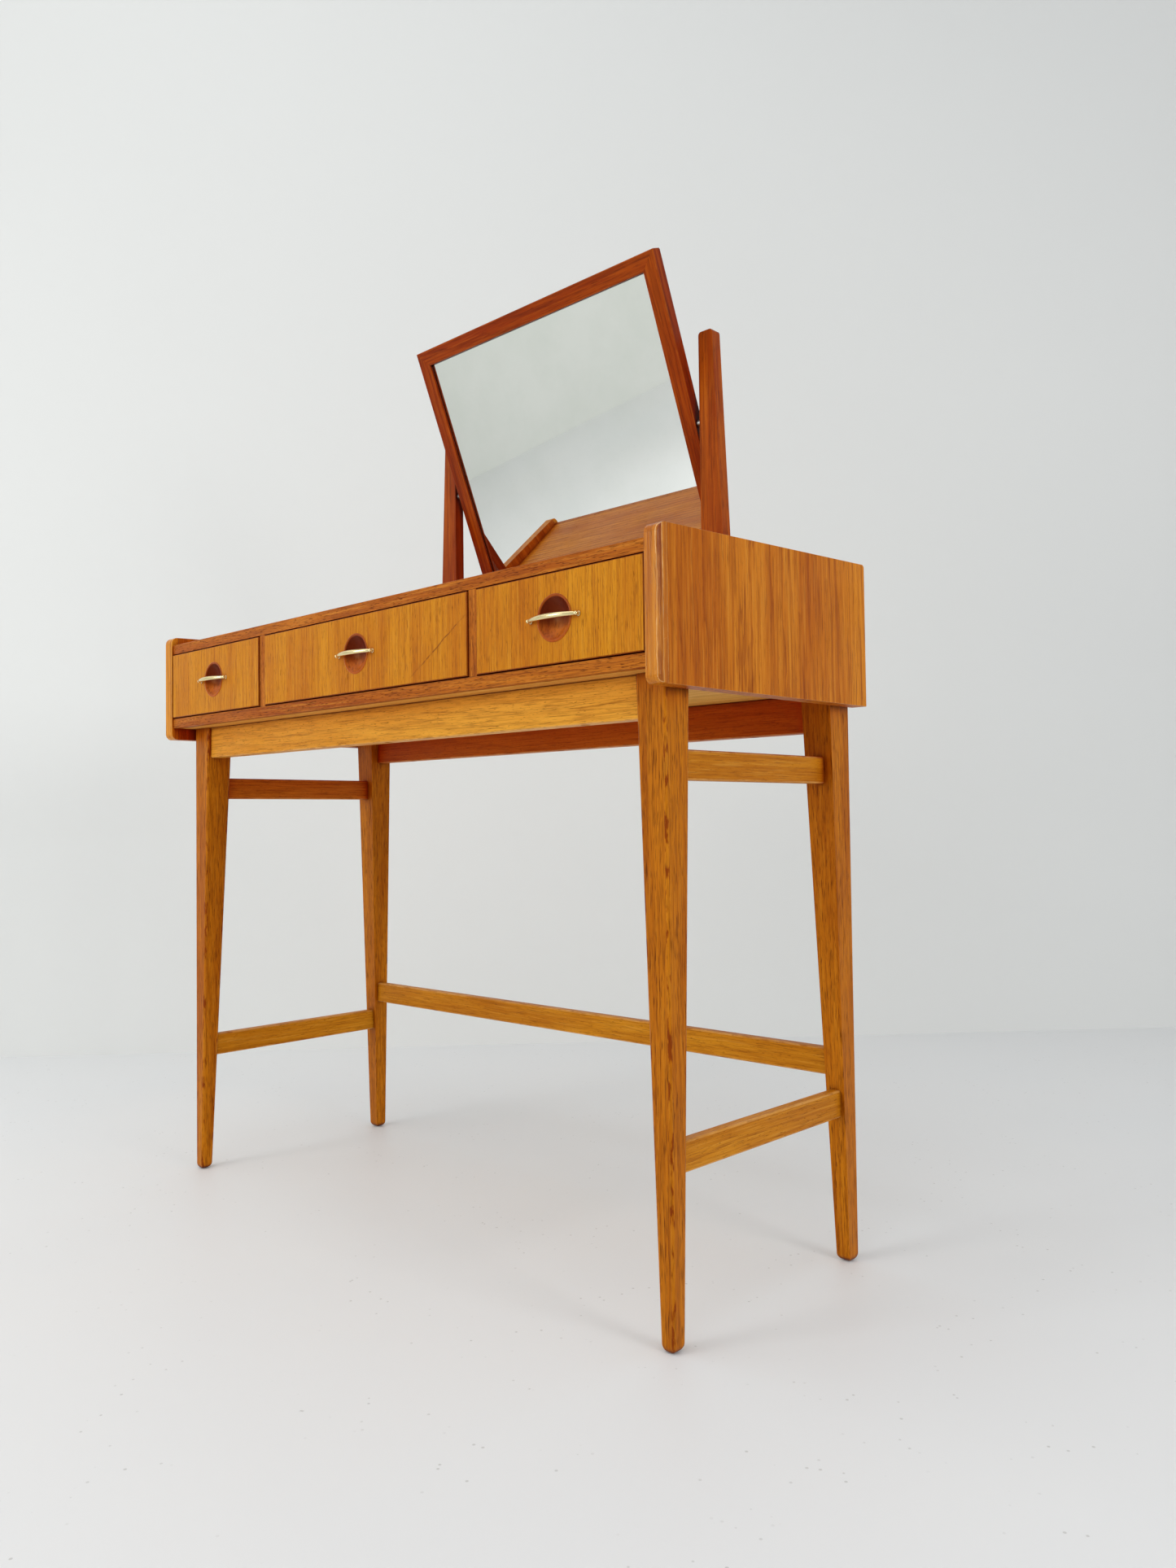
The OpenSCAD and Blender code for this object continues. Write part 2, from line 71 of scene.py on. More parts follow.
def feed(tree, sockets, values):
    # links what is itself a socket and sets what is a plain value
    for key, value in values.items():
        if isinstance(value, bpy.types.NodeSocket):
            tree.links.new(value, sockets[key])
        else:
            sockets[key].default_value = value


def putNode(tree, kind, inputs=None, **settings):
    node = tree.nodes.new(kind)
    for key, value in settings.items():
        setattr(node, key, value)
    feed(tree, node.inputs, inputs or {})
    return node


def addNode(tree, kind, inputs=None, **settings):
    return putNode(tree, "ShaderNode" + kind, inputs, **settings)


def maths(tree, operation, first, second=0.0, third=0.0, clamp=False):
    node = addNode(tree, "Math", {0: first, 1: second, 2: third}, operation=operation, use_clamp=clamp)
    return node.outputs[0]


def times(tree, first, second, clamp=False):
    return maths(tree, "MULTIPLY", first, second, clamp=clamp)


def plus(tree, first, second, clamp=False):
    return maths(tree, "ADD", first, second, clamp=clamp)


def minus(tree, first, second, clamp=False):
    return maths(tree, "SUBTRACT", first, second, clamp=clamp)


def mixColour(tree, factor, first, second, blend="MIX"):
    node = addNode(tree, "Mix", data_type="RGBA", blend_type=blend)
    feed(tree, node.inputs, {0: factor, 6: first, 7: second})
    return node.outputs[2]


def washed(tree, colour, shade, mask, depth):
    # a shade laid over a colour where the mask says, as strongly as depth says
    return mixColour(tree, times(tree, mask, depth), colour, shade)


def ramp(tree, value, low, high, newLow=0.0, newHigh=1.0):
    node = addNode(tree, "MapRange", {"Value": value, "From Min": low, "From Max": high,
                                      "To Min": newLow, "To Max": newHigh}, clamp=True)
    return node.outputs["Result"]


def stretched(tree, vector, across, through, along):
    node = addNode(tree, "VectorMath", {0: vector, 1: (across, through, along)}, operation="MULTIPLY")
    return node.outputs["Vector"]


def noise(tree, vector, detail=2.0, roughness=0.5, distortion=0.0):
    node = addNode(tree, "TexNoise", {"Vector": vector, "Scale": 1.0, "Detail": detail,
                                      "Roughness": roughness, "Distortion": distortion})
    return node.outputs["Fac"]


def inPlace(tree):
    # where a point is, in the piece's own coordinates
    return addNode(tree, "TexCoord").outputs["Object"]


def crossDistance(tree, first, second):
    # how far off the middle a point is, from its two parts
    return maths(tree, "SQRT", plus(tree, times(tree, first, first), times(tree, second, second)))


def split(tree, vector):
    return addNode(tree, "SeparateXYZ", {0: vector}).outputs


def stored(tree, name, output):
    # what was written on the mesh under the name
    return addNode(tree, "Attribute", attribute_name=name).outputs[output]


def newGroup(name, inputs, outputs):
    tree = bpy.data.node_groups.new(name, "ShaderNodeTree")
    for label, kind, value in inputs:
        socket = tree.interface.new_socket(label, in_out="INPUT", socket_type="NodeSocket" + kind)
        if value is not None:
            socket.default_value = value
    for label, kind in outputs:
        tree.interface.new_socket(label, in_out="OUTPUT", socket_type="NodeSocket" + kind)
    return tree, tree.nodes.new("NodeGroupInput").outputs, tree.nodes.new("NodeGroupOutput").inputs


def placeGroup(tree, group, inputs):
    node = tree.nodes.new("ShaderNodeGroup")
    node.node_tree = group
    feed(tree, node.inputs, inputs)
    return node.outputs


# ---- shared effects

def scaledBy(tree, vector, size):
    # a vector divided by a size that may be a socket
    share = maths(tree, "DIVIDE", 1.0, size)
    return addNode(tree, "VectorMath", {0: vector, "Scale": share}, operation="SCALE").outputs[0]


poresPerMetre = 1100.0


def buildTimberGrain():
    # a board's figure in its own coordinates: x across, y through, z along the grain, in metres
    tree, given, out = newGroup("timberGrain", [
        ("Vector", "Vector", None), ("Ring Spacing", "Float", 0.006), ("Ring Wander", "Float", 0.01),
        ("Heart Depth", "Float", 0.03), ("Heart Tilt", "Float", 0.06), ("Streak Width", "Float", 0.03),
        ("Fibre Width", "Float", 0.0025), ("Pore Length", "Float", 0.008), ("Pore Amount", "Float", 0.5),
    ], [("Rings", "Float"), ("Streaks", "Float"), ("Fibre", "Float"), ("Pale", "Float"),
        ("Flecks", "Float"), ("Pores", "Float"), ("Height", "Float")])
    vector = given["Vector"]
    parts = split(tree, vector)
    # growth rings round a heart that wanders and leans
    slow = noise(tree, stretched(tree, vector, 9, 9, 2.2), 3.0)
    swing = times(tree, minus(tree, slow, 0.5), given["Ring Wander"])
    quick = noise(tree, stretched(tree, vector, 160, 160, 16), 3.0)
    shake = times(tree, minus(tree, quick, 0.5), times(tree, given["Ring Spacing"], 1.1))
    depth = plus(tree, plus(tree, parts[1], given["Heart Depth"]), times(tree, parts[2], given["Heart Tilt"]))
    radius = plus(tree, plus(tree, crossDistance(tree, parts[0], depth), shake), swing)
    turn = maths(tree, "FRACT", maths(tree, "DIVIDE", radius, given["Ring Spacing"]))
    rise = maths(tree, "POWER", turn, 3.5)
    fall = ramp(tree, turn, 0.94, 1.0, 1.0, 0.0)
    broken = ramp(tree, noise(tree, stretched(tree, vector, 60, 60, 7), 2.0), 0.34, 0.56, 0.4, 1.0)
    tree.links.new(times(tree, times(tree, rise, fall), broken), out["Rings"])
    # broad zones of tone
    wide = scaledBy(tree, vector, given["Streak Width"])
    streaks = noise(tree, stretched(tree, wide, 1, 1, 0.09), 3.0, 0.6)
    tree.links.new(ramp(tree, streaks, 0.38, 0.62), out["Streaks"])
    # fibre in separate dark and pale strokes, then finer flecks
    near = scaledBy(tree, vector, given["Fibre Width"])
    fibre = noise(tree, stretched(tree, near, 0.62, 0.62, 0.018), 3.0, 0.66, 0.12)
    dark = ramp(tree, fibre, 0.52, 0.62)
    tree.links.new(dark, out["Fibre"])
    tree.links.new(ramp(tree, fibre, 0.46, 0.36), out["Pale"])
    flecks = noise(tree, stretched(tree, near, 1.5, 1.5, 0.060), 2.0, 0.6)
    flecks = ramp(tree, flecks, 0.57, 0.66)
    tree.links.new(flecks, out["Flecks"])
    # pores are short dark dashes along the grain
    dash = addNode(tree, "CombineXYZ", {0: times(tree, parts[0], poresPerMetre),
                                        1: times(tree, parts[1], poresPerMetre),
                                        2: maths(tree, "DIVIDE", parts[2], given["Pore Length"])})
    pores = noise(tree, dash.outputs[0], 1.0, 0.4)
    edge = minus(tree, 0.80, times(tree, given["Pore Amount"], 0.28))
    pores = times(tree, minus(tree, pores, edge), 14.0, clamp=True)
    tree.links.new(pores, out["Pores"])
    height = minus(tree, times(tree, dark, -0.3), pores)
    tree.links.new(minus(tree, height, times(tree, flecks, 0.5)), out["Height"])
    return tree


def buildEdgeMarks():
    # the rounded edges, marked on the mesh, broken up by noise; the tones laid there are wear on most woods,
    # a painted highlight on the veneer boards and painted shade on the drawer fronts
    tree, given, out = newGroup("edgeMarks", [
        ("Vector", "Vector", None), ("Mask", "Float", 0.0), ("Break Up", "Float", 0.7),
    ], [("Wear", "Float"), ("Stain", "Float")])
    patch = noise(tree, stretched(tree, given["Vector"], 140, 140, 30), 4.0, 0.65)
    kept = minus(tree, 1.0, times(tree, given["Break Up"], ramp(tree, patch, 0.64, 0.40)))
    tree.links.new(times(tree, given["Mask"], kept, clamp=True), out["Wear"])
    spotty = ramp(tree, noise(tree, stretched(tree, given["Vector"], 230, 230, 55), 3.0, 0.6), 0.52, 0.62)
    tree.links.new(times(tree, given["Mask"], spotty, clamp=True), out["Stain"])
    return tree


def buildHandling():
    # faint smudges and hairline scratches that lift the gloss unevenly
    tree, given, out = newGroup("handling", [("Vector", "Vector", None)],
                                [("Smudge", "Float"), ("Scratch", "Float")])
    cloud = noise(tree, stretched(tree, given["Vector"], 14, 14, 14), 4.0, 0.6)
    tree.links.new(ramp(tree, cloud, 0.4, 0.7), out["Smudge"])
    turned = addNode(tree, "VectorRotate",
                     {"Vector": given["Vector"], "Angle": 0.7, "Axis": (0.4, 0.8, 0.45)})
    hair = noise(tree, stretched(tree, turned.outputs[0], 900, 60, 8), 2.0, 0.7, 0.4)
    tree.links.new(ramp(tree, hair, 0.72, 0.76), out["Scratch"])
    return tree


def buildCrevice():
    # Depth is 1 deep in corners and gaps, Shade is 1 well inside the shelter of other parts; both masks are
    # used to paint shade into colours
    tree, given, out = newGroup("crevice", [("Reach", "Float", 0.012), ("Shelter", "Float", 0.22)],
                                [("Depth", "Float"), ("Shade", "Float")])
    hollow = addNode(tree, "AmbientOcclusion", {"Distance": given["Reach"]}, samples=6)
    tree.links.new(ramp(tree, hollow.outputs["AO"], 0.8, 0.25), out["Depth"])
    cover = addNode(tree, "AmbientOcclusion", {"Distance": given["Shelter"]}, samples=6)
    tree.links.new(ramp(tree, cover.outputs["AO"], 0.82, 0.42), out["Shade"])
    return tree


timberGrain = buildTimberGrain()
edgeMarks = buildEdgeMarks()
handling = buildHandling()
crevice = buildCrevice()
print("built the shared effects")


# ---- finishes

def newMaterial(name):
    material = bpy.data.materials.new(name)
    material.use_nodes = True
    tree = material.node_tree
    return material, tree, tree.nodes["Principled BSDF"]


def woodLook(**changes):
    # what one kind of wood looks like; each finish below changes some of it
    # the tones for corners and gaps and for wood under other parts are painted shade
    base = dict(light=(208, 128, 26), mid=(184, 98, 10), dark=(130, 50, 2), pore=(88, 28, 0),
                pale=(224, 152, 54), wear=(232, 180, 110), stain=(120, 40, 8), grime=(86, 14, 2),
                shade=(212, 96, 20), ringSpacing=0.0085, ringWander=0.03, heartDepth=0.05, heartTilt=0.05,
                ringDepth=0.55, streakWidth=0.035, streakDepth=1.0, fibreWidth=0.0022, fibreDepth=0.42,
                paleDepth=0.30, fleckDepth=0.42, poreLength=0.012, poreAmount=0.45, poreDepth=0.5,
                wearBreak=0.7, wearDepth=0.45, stainDepth=0.4, creviceShadeDepth=0.9, shadeDepth=1.0,
                roughness=0.42, gloss=0.22, sheen=(255, 190, 110), bump=0.30)
    base.update(changes)
    return base


def timber(name, look, extra=None):
    material, tree, shader = newMaterial(name)
    place = stored(tree, "grainCo", "Vector")
    grain = placeGroup(tree, timberGrain, {
        "Vector": place, "Ring Spacing": look["ringSpacing"], "Ring Wander": look["ringWander"],
        "Heart Depth": look["heartDepth"], "Heart Tilt": look["heartTilt"],
        "Streak Width": look["streakWidth"], "Fibre Width": look["fibreWidth"],
        "Pore Length": look["poreLength"], "Pore Amount": look["poreAmount"]})
    colour = washed(tree, tone(*look["light"]), tone(*look["mid"]), grain["Streaks"], look["streakDepth"])
    for mask, depth, shade in (("Pale", "paleDepth", "pale"), ("Rings", "ringDepth", "dark"),
                               ("Fibre", "fibreDepth", "dark"), ("Flecks", "fleckDepth", "pore"),
                               ("Pores", "poreDepth", "pore")):
        colour = washed(tree, colour, tone(*look[shade]), grain[mask], look[depth])
    rounded = stored(tree, "edgeMask", "Fac")
    edge = placeGroup(tree, edgeMarks, {"Vector": place, "Mask": rounded, "Break Up": look["wearBreak"]})
    colour = washed(tree, colour, tone(*look["wear"]), edge["Wear"], look["wearDepth"])
    colour = washed(tree, colour, tone(*look["stain"]), edge["Stain"], look["stainDepth"])
    if extra:
        colour = extra(tree, place, colour)
    hidden = placeGroup(tree, crevice, {"Reach": 0.010})
    # painted shade: wood sheltered by other parts is darkened and reddened, but not low down, where light
    # from the floor reaches
    height = split(tree, inPlace(tree))[2]
    paintedUnderShade = times(tree, hidden["Shade"], ramp(tree, height, 0.22, 0.42, 0.0, look["shadeDepth"]))
    darker = mixColour(tree, 1.0, colour, tone(*look["shade"]), blend="MULTIPLY")
    colour = mixColour(tree, paintedUnderShade, colour, darker)
    # painted shade: darker and redder deep in corners and gaps
    colour = washed(tree, colour, tone(*look["grime"]), hidden["Depth"], look["creviceShadeDepth"])
    touch = placeGroup(tree, handling, {"Vector": place})
    rough = plus(tree, look["roughness"], times(tree, grain["Pores"], 0.18))
    rough = plus(tree, rough, times(tree, touch["Smudge"], 0.09))
    rough = plus(tree, rough, times(tree, touch["Scratch"], 0.15))
    rough = minus(tree, rough, times(tree, edge["Wear"], 0.10), clamp=True)
    bump = addNode(tree, "Bump", {"Height": grain["Height"], "Strength": look["bump"], "Distance": 0.00025})
    feed(tree, shader.inputs, {"Base Color": colour, "Roughness": rough, "Normal": bump.outputs[0],
                               "Specular IOR Level": look["gloss"], "Specular Tint": tone(*look["sheen"])})
    return material


scratch = {"start": (0.191, 0.020), "end": (0.097, -0.038), "width": 0.0007, "depth": 0.8,
           "tone": (112, 50, 8)}


def drawScratch(tree, place, colour):
    # one long scratch, given sideways and upwards from the middle of the front
    low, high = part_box("middle_drawer_front")
    parts = split(tree, inPlace(tree))
    (x0, z0), (x1, z1) = scratch["start"], scratch["end"]
    length = math.hypot(x1 - x0, z1 - z0)
    goX, goZ = (x1 - x0) / length, (z1 - z0) / length
    fromX = minus(tree, parts[0], (low[0] + high[0]) / 2 + x0)
    fromZ = minus(tree, parts[2], (low[2] + high[2]) / 2 + z0)
    along = plus(tree, times(tree, fromX, goX), times(tree, fromZ, goZ))
    off = minus(tree, times(tree, fromX, goZ), times(tree, fromZ, goX))
    shake = minus(tree, noise(tree, stretched(tree, place, 60, 60, 60), 2.0), 0.5)
    off = maths(tree, "ABSOLUTE", plus(tree, off, times(tree, shake, 0.003)))
    line = ramp(tree, off, scratch["width"] * 1.6, scratch["width"] * 0.5)
    inside = times(tree, ramp(tree, along, 0.0, 0.004), ramp(tree, along, length, length - 0.02))
    patchy = ramp(tree, noise(tree, stretched(tree, place, 180, 180, 180), 3.0), 0.40, 0.54, 0.2, 1.0)
    mask = times(tree, times(tree, line, inside), patchy)
    return washed(tree, colour, tone(*scratch["tone"]), mask, scratch["depth"])


# the stripe down the corner's rounding is partly rubbed varnish and partly a painted dark reflection; the
# pale lines beside it are painted highlights
corner = {"near": 0.0023, "far": 0.0031, "depth": 0.85, "tone": (116, 36, 6),
          "rim": 0.0040, "highlightWidth": 0.0007, "highlightDepth": 0.65, "highlightTone": (240, 196, 136)}


def cornerWearAndLight(tree, place, colour):
    # a red-brown stripe down the rounding at the front corner, partly rubbed varnish and partly a painted
    # dark reflection
    low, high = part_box("right_panel_lipping")
    parts = split(tree, inPlace(tree))
    offX = minus(tree, maths(tree, "ABSOLUTE", parts[0]), high[0])
    offY = minus(tree, parts[1], low[1])
    shake = minus(tree, noise(tree, stretched(tree, place, 260, 260, 45), 3.0, 0.6), 0.5)
    away = plus(tree, crossDistance(tree, offX, offY), times(tree, shake, 0.004))
    patchy = ramp(tree, noise(tree, stretched(tree, place, 90, 90, 14), 3.0, 0.65), 0.36, 0.55, 0.3, 1.0)
    mask = times(tree, ramp(tree, away, corner["far"], corner["near"]), patchy)
    colour = washed(tree, colour, tone(*corner["tone"]), mask, corner["depth"])
    # painted highlights: pale lines on both sides of it
    highlightBand = maths(tree, "ABSOLUTE", minus(tree, away, corner["rim"]))
    highlightBand = times(tree, ramp(tree, highlightBand, corner["highlightWidth"], corner["highlightWidth"] * 0.3), patchy)
    return washed(tree, colour, tone(*corner["highlightTone"]), highlightBand, corner["highlightDepth"])


# painted shade: on the drawer fronts the dark tones laid on the rounded edges outline each front with the
# shade of the gap around it
goldenLook = woodLook(
    light=(204, 131, 16), mid=(188, 109, 8), dark=(140, 62, 2), pore=(100, 38, 0), pale=(216, 154, 46),
    wear=(118, 34, 4), stain=(90, 18, 2), ringSpacing=0.006, ringDepth=0.22, ringWander=0.012,
    streakWidth=0.05, fibreWidth=0.0012, fibreDepth=0.38, fleckDepth=0.50, poreLength=0.009, poreAmount=0.5,
    heartTilt=0.01, wearBreak=0.25, wearDepth=0.85)
honeyLook = woodLook(
    light=(204, 133, 24), mid=(184, 110, 12), dark=(144, 72, 4), pore=(102, 42, 0), pale=(218, 158, 60),
    ringSpacing=0.005, ringDepth=0.35, fibreWidth=0.0015, fibreDepth=0.38, fleckDepth=0.45, poreLength=0.006,
    poreAmount=0.5, heartTilt=0.03)
finishes = {
    # the pale tone on these boards' rounded edges is partly wear and partly a painted highlight along the
    # panels' top edges
    "teak_veneer": timber("teakVeneer", woodLook(
        light=(206, 125, 26), mid=(180, 95, 12), ringDepth=0.75, wear=(228, 176, 104), wearBreak=0.4,
        wearDepth=0.55, streakWidth=0.045)),
    "panel_lipping": timber("panelLipping", woodLook(
        light=(200, 120, 22), mid=(180, 96, 10), streakWidth=0.02, wearDepth=0.2, stainDepth=0.5,
        roughness=0.17, gloss=0.42, sheen=(255, 216, 160)), cornerWearAndLight),
    # painted light: a brighter copy of the panel lipping for the left panel
    "left_lipping": timber("leftLipping", woodLook(
        light=(222, 148, 36), mid=(206, 128, 22), streakWidth=0.02, wear=(240, 190, 110), wearDepth=0.4,
        stainDepth=0.3, roughness=0.3)),
    "board_lipping": timber("boardLipping", woodLook(
        light=(188, 106, 22), mid=(164, 80, 10), dark=(116, 40, 2), pore=(76, 20, 0), wear=(206, 130, 50),
        ringSpacing=0.004, fibreWidth=0.0016, fleckDepth=0.6, poreLength=0.008, poreAmount=0.7,
        poreDepth=0.7)),
    "front_veneer": timber("goldenVeneer", goldenLook),
    "scratched_front": timber("goldenVeneerScratched", goldenLook, drawScratch),
    "mirror_teak": timber("redTeak", woodLook(
        light=(172, 79, 8), mid=(142, 49, 2), dark=(94, 22, 0), pore=(66, 12, 0), pale=(190, 104, 22),
        wear=(210, 130, 60), grime=(48, 6, 2), streakWidth=0.018, roughness=0.38, wearDepth=0.35)),
    "frame_teak": timber("frameTeak", woodLook(
        light=(164, 67, 4), mid=(138, 42, 2), dark=(92, 18, 0), pore=(66, 12, 0), pale=(190, 96, 20),
        wear=(206, 118, 50), grime=(48, 6, 2), streakWidth=0.018, roughness=0.36, wearDepth=0.35)),
    "oak": timber("honeyOak", honeyLook),
    # painted light: a brighter copy of the honey oak, with less painted shade, for the front apron under the
    # overhang
    "apron_oak": timber("litApronOak", dict(honeyLook, light=(236, 168, 56), mid=(220, 146, 40),
                                          shadeDepth=0.3, creviceShadeDepth=0.5)),
    # painted shade: a darker, redder copy of the honey oak for the left upper rail and the rear apron, which
    # sit in shade under the case
    "shaded_oak": timber("redOak", dict(honeyLook, light=(204, 116, 26), mid=(184, 92, 14), dark=(140, 52, 4),
                                     pore=(92, 26, 0), pale=(214, 130, 44))),
    "leg_oak": timber("legOak", woodLook(
        light=(195, 114, 12), mid=(171, 90, 4), dark=(121, 48, 0), pore=(76, 23, 0), pale=(209, 140, 41),
        wear=(207, 136, 46), stain=(116, 30, 4), wearDepth=0.3, stainDepth=0.8, shadeDepth=0.5,
        ringSpacing=0.005, ringDepth=0.5, fibreWidth=0.0013, fibreDepth=0.36, fleckDepth=0.6, paleDepth=0.2,
        poreLength=0.020, poreAmount=0.62, poreDepth=0.7, streakWidth=0.03)),
    "birch": timber("paleBirch", woodLook(
        light=(230, 200, 142), mid=(218, 184, 124), dark=(196, 154, 96), pore=(170, 124, 76),
        pale=(238, 214, 168), wear=(238, 216, 172), stain=(190, 148, 96), grime=(118, 66, 26),
        shade=(226, 176, 120), ringDepth=0.3, fibreDepth=0.3, fleckDepth=0.2, poreAmount=0.25, poreDepth=0.2,
        roughness=0.6, gloss=0.15)),
    "pale_underside": timber("paleUnderside", woodLook(
        light=(232, 180, 92), mid=(220, 164, 74), dark=(190, 128, 46), pore=(150, 92, 30),
        pale=(240, 196, 120), grime=(120, 44, 8), shade=(236, 176, 110), shadeDepth=0.6, roughness=0.6,
        gloss=0.12)),
}


def metal(name, colour, roughness):
    material, tree, shader = newMaterial(name)
    place = inPlace(tree)
    touch = placeGroup(tree, handling, {"Vector": place})
    dull = tuple(channel * 0.82 for channel in colour[:3]) + (1.0,)
    dark = tuple(channel * 0.25 for channel in colour[:3]) + (1.0,)
    shade = mixColour(tree, touch["Smudge"], colour, dull)
    # painted shade: darker in crevices
    shade = washed(tree, shade, dark, placeGroup(tree, crevice, {"Reach": 0.002})["Depth"], 0.6)
    rough = plus(tree, roughness, times(tree, touch["Smudge"], 0.10))
    rough = plus(tree, rough, times(tree, touch["Scratch"], 0.15), clamp=True)
    fine = noise(tree, stretched(tree, place, 2500, 2500, 2500), 2.0)
    bump = addNode(tree, "Bump", {"Height": fine, "Strength": 0.06, "Distance": 0.00005})
    feed(tree, shader.inputs, {"Metallic": 1.0, "Base Color": shade, "Roughness": rough,
                               "Normal": bump.outputs[0]})
    return material


def silveredGlass():
    material, tree, shader = newMaterial("silveredGlass")
    touch = placeGroup(tree, handling, {"Vector": inPlace(tree)})
    shade = mixColour(tree, touch["Smudge"], tone(240, 241, 238), tone(235, 237, 233))
    # painted shade: darker where the glass meets the frame
    shade = washed(tree, shade, tone(60, 52, 46), placeGroup(tree, crevice, {"Reach": 0.003})["Depth"], 0.9)
    feed(tree, shader.inputs, {"Metallic": 1.0, "Base Color": shade,
                               "Roughness": times(tree, touch["Smudge"], 0.015)})
    return material


def polishedCup():
    # turned wood, with painted shade: the upper half is darkened to maroon
    material, tree, shader = newMaterial("polishedMahogany")
    place = stored(tree, "grainCo", "Vector")
    low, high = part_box("middle_drawer_cup")
    up = minus(tree, split(tree, inPlace(tree))[2], (low[2] + high[2]) / 2)
    grain = placeGroup(tree, timberGrain, {"Vector": place, "Ring Spacing": 0.004, "Ring Wander": 0.01,
                                           "Streak Width": 0.02, "Fibre Width": 0.0013, "Pore Amount": 0.4})
    rim = stored(tree, "edgeMask", "Fac")
    worn = placeGroup(tree, edgeMarks, {"Vector": place, "Mask": rim, "Break Up": 0.3})["Wear"]
    colour = mixColour(tree, grain["Streaks"], tone(192, 100, 22), tone(168, 72, 12))
    # painted shade: the maroon on the upper half and the dark in crevices
    for shade, mask, depth in (((196, 104, 36), grain["Pale"], 0.35),
                               ((84, 6, 4), ramp(tree, up, -0.011, 0.001), 0.92),
                               ((66, 8, 4), grain["Fibre"], 0.45), ((170, 76, 18), worn, 0.75),
                               ((50, 4, 3), placeGroup(tree, crevice, {"Reach": 0.004})["Depth"], 0.5)):
        colour = washed(tree, colour, tone(*shade), mask, depth)
    touch = placeGroup(tree, handling, {"Vector": place})
    rough = plus(tree, 0.26, times(tree, touch["Smudge"], 0.12))
    feed(tree, shader.inputs, {"Base Color": colour, "Roughness": rough, "Specular IOR Level": 0.28,
                               "Specular Tint": tone(255, 200, 120)})
    return material


finishes["brass"] = metal("paleBrass", tone(240, 222, 168), 0.14)
finishes["steel"] = metal("plainSteel", tone(176, 174, 170), 0.32)
finishes["mirror_glass"] = silveredGlass()
finishes["cup_mahogany"] = polishedCup()
print("mixed", len(finishes), "finishes")


# ---- making pieces from the parts

def weldedPart(node):
    # a clean copy of a part, with its triangles joined into flat faces
    shape = bmesh.new()
    shape.from_mesh(frame["nodes"][node].data)
    shape.faces.layers.float.new("edgeMask")
    bmesh.ops.remove_doubles(shape, verts=shape.verts, dist=2e-6)
    bmesh.ops.dissolve_limit(shape, angle_limit=math.radians(1.5), verts=shape.verts, edges=shape.edges)
    return shape


def markEdges(shape, faces, value):
    # remembers which faces are rounded edges, for the tones laid on edges
    layer = shape.faces.layers.float["edgeMask"]
    for face in faces:
        face[layer] = value


def roundOver(shape, radius, pick, segments=3):
    edges = [edge for edge in shape.edges
             if len(edge.link_faces) == 2 and edge.calc_face_angle(0) > 0.6 and pick(edge)]
    if edges and radius > 0:
        made = bmesh.ops.bevel(shape, geom=edges, offset=radius, offset_type="OFFSET", segments=segments,
                               profile=0.5, affect="EDGES", clamp_overlap=True)
        markEdges(shape, made["faces"], 1.0 if radius > 0.0004 else 0.0)


def grainTurn(axis):
    # carries the named axis to z
    if axis == "X":
        return Matrix(((0, 1, 0), (0, 0, 1), (1, 0, 0)))
    if axis == "Y":
        return Matrix(((0, 0, 1), (1, 0, 0), (0, 1, 0)))
    return Matrix.Identity(3)


def meshFrom(shape, name):
    mesh = bpy.data.meshes.new(name)
    shape.to_mesh(mesh)
    shape.free()
    return mesh


def newObject(name, data):
    obj = bpy.data.objects.new(name, data)
    bpy.context.scene.collection.objects.link(obj)
    return obj


def baked(obj):
    # the evaluated shape as a plain mesh, with the modifiers gone
    graph = bpy.context.evaluated_depsgraph_get()
    mesh = bpy.data.meshes.new_from_object(obj.evaluated_get(graph))
    old = obj.data
    obj.modifiers.clear()
    obj.data = mesh
    bpy.data.meshes.remove(old)
    mesh.name = obj.name
    return obj


def mount(obj, node):
    # the piece rides where its part rides and stands for it
    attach(obj, bodyOf[node])
    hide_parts(node)
    return obj


def settle(name, shape, node, grain="Z", turn=None, finish=None, across=0.2, angle=35, second=None):
    # second is (finish, test on a face) for faces that look different
    bmesh.ops.recalc_face_normals(shape, faces=shape.faces)
    if second:
        for face in shape.faces:
            if second[1](face):
                face.material_index = 1
    mesh = meshFrom(shape, name)
    mesh.materials.append(finishes[finish or slotOf[node]])
    if second:
        mesh.materials.append(finishes[second[0]])
    low, high = (Vector(corner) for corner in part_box(node))
    middle = (low + high) / 2
    draw = random.Random(name)
    shift = Vector((across * draw.uniform(0.6, 1.4) * draw.choice((-1, 1)), draw.uniform(-0.01, 0.01),
                    draw.uniform(-0.6, 0.6)))
    turn = turn or grainTurn(grain)
    layer = mesh.attributes.new("grainCo", "FLOAT_VECTOR", "POINT")
    for vertex in mesh.vertices:
        layer.data[vertex.index].vector = turn @ (vertex.co - middle) + shift
    obj = newObject(name, mesh)
    mesh.shade_smooth()
    mesh.set_sharp_from_angle(angle=math.radians(angle))
    even = obj.modifiers.new("even", "WEIGHTED_NORMAL")
    even.keep_sharp = True
    return mount(baked(obj), node)


def pieceName(node):
    words = node.split("_")
    return words[0] + "".join(word.capitalize() for word in words[1:])


def dress(node, grain, rounds, **more):
    # rounds is a list of (radius, segments, test on an edge)
    shape = weldedPart(node)
    for radius, segments, pick in rounds:
        roundOver(shape, radius, pick, segments)
    return settle(pieceName(node), shape, node, grain, **more)


def onPlane(edge, axis, value, slack=0.0002):
    return all(abs(vertex.co[axis] - value) < slack for vertex in edge.verts)


def longerThan(length):
    return lambda edge: edge.calc_length() > length


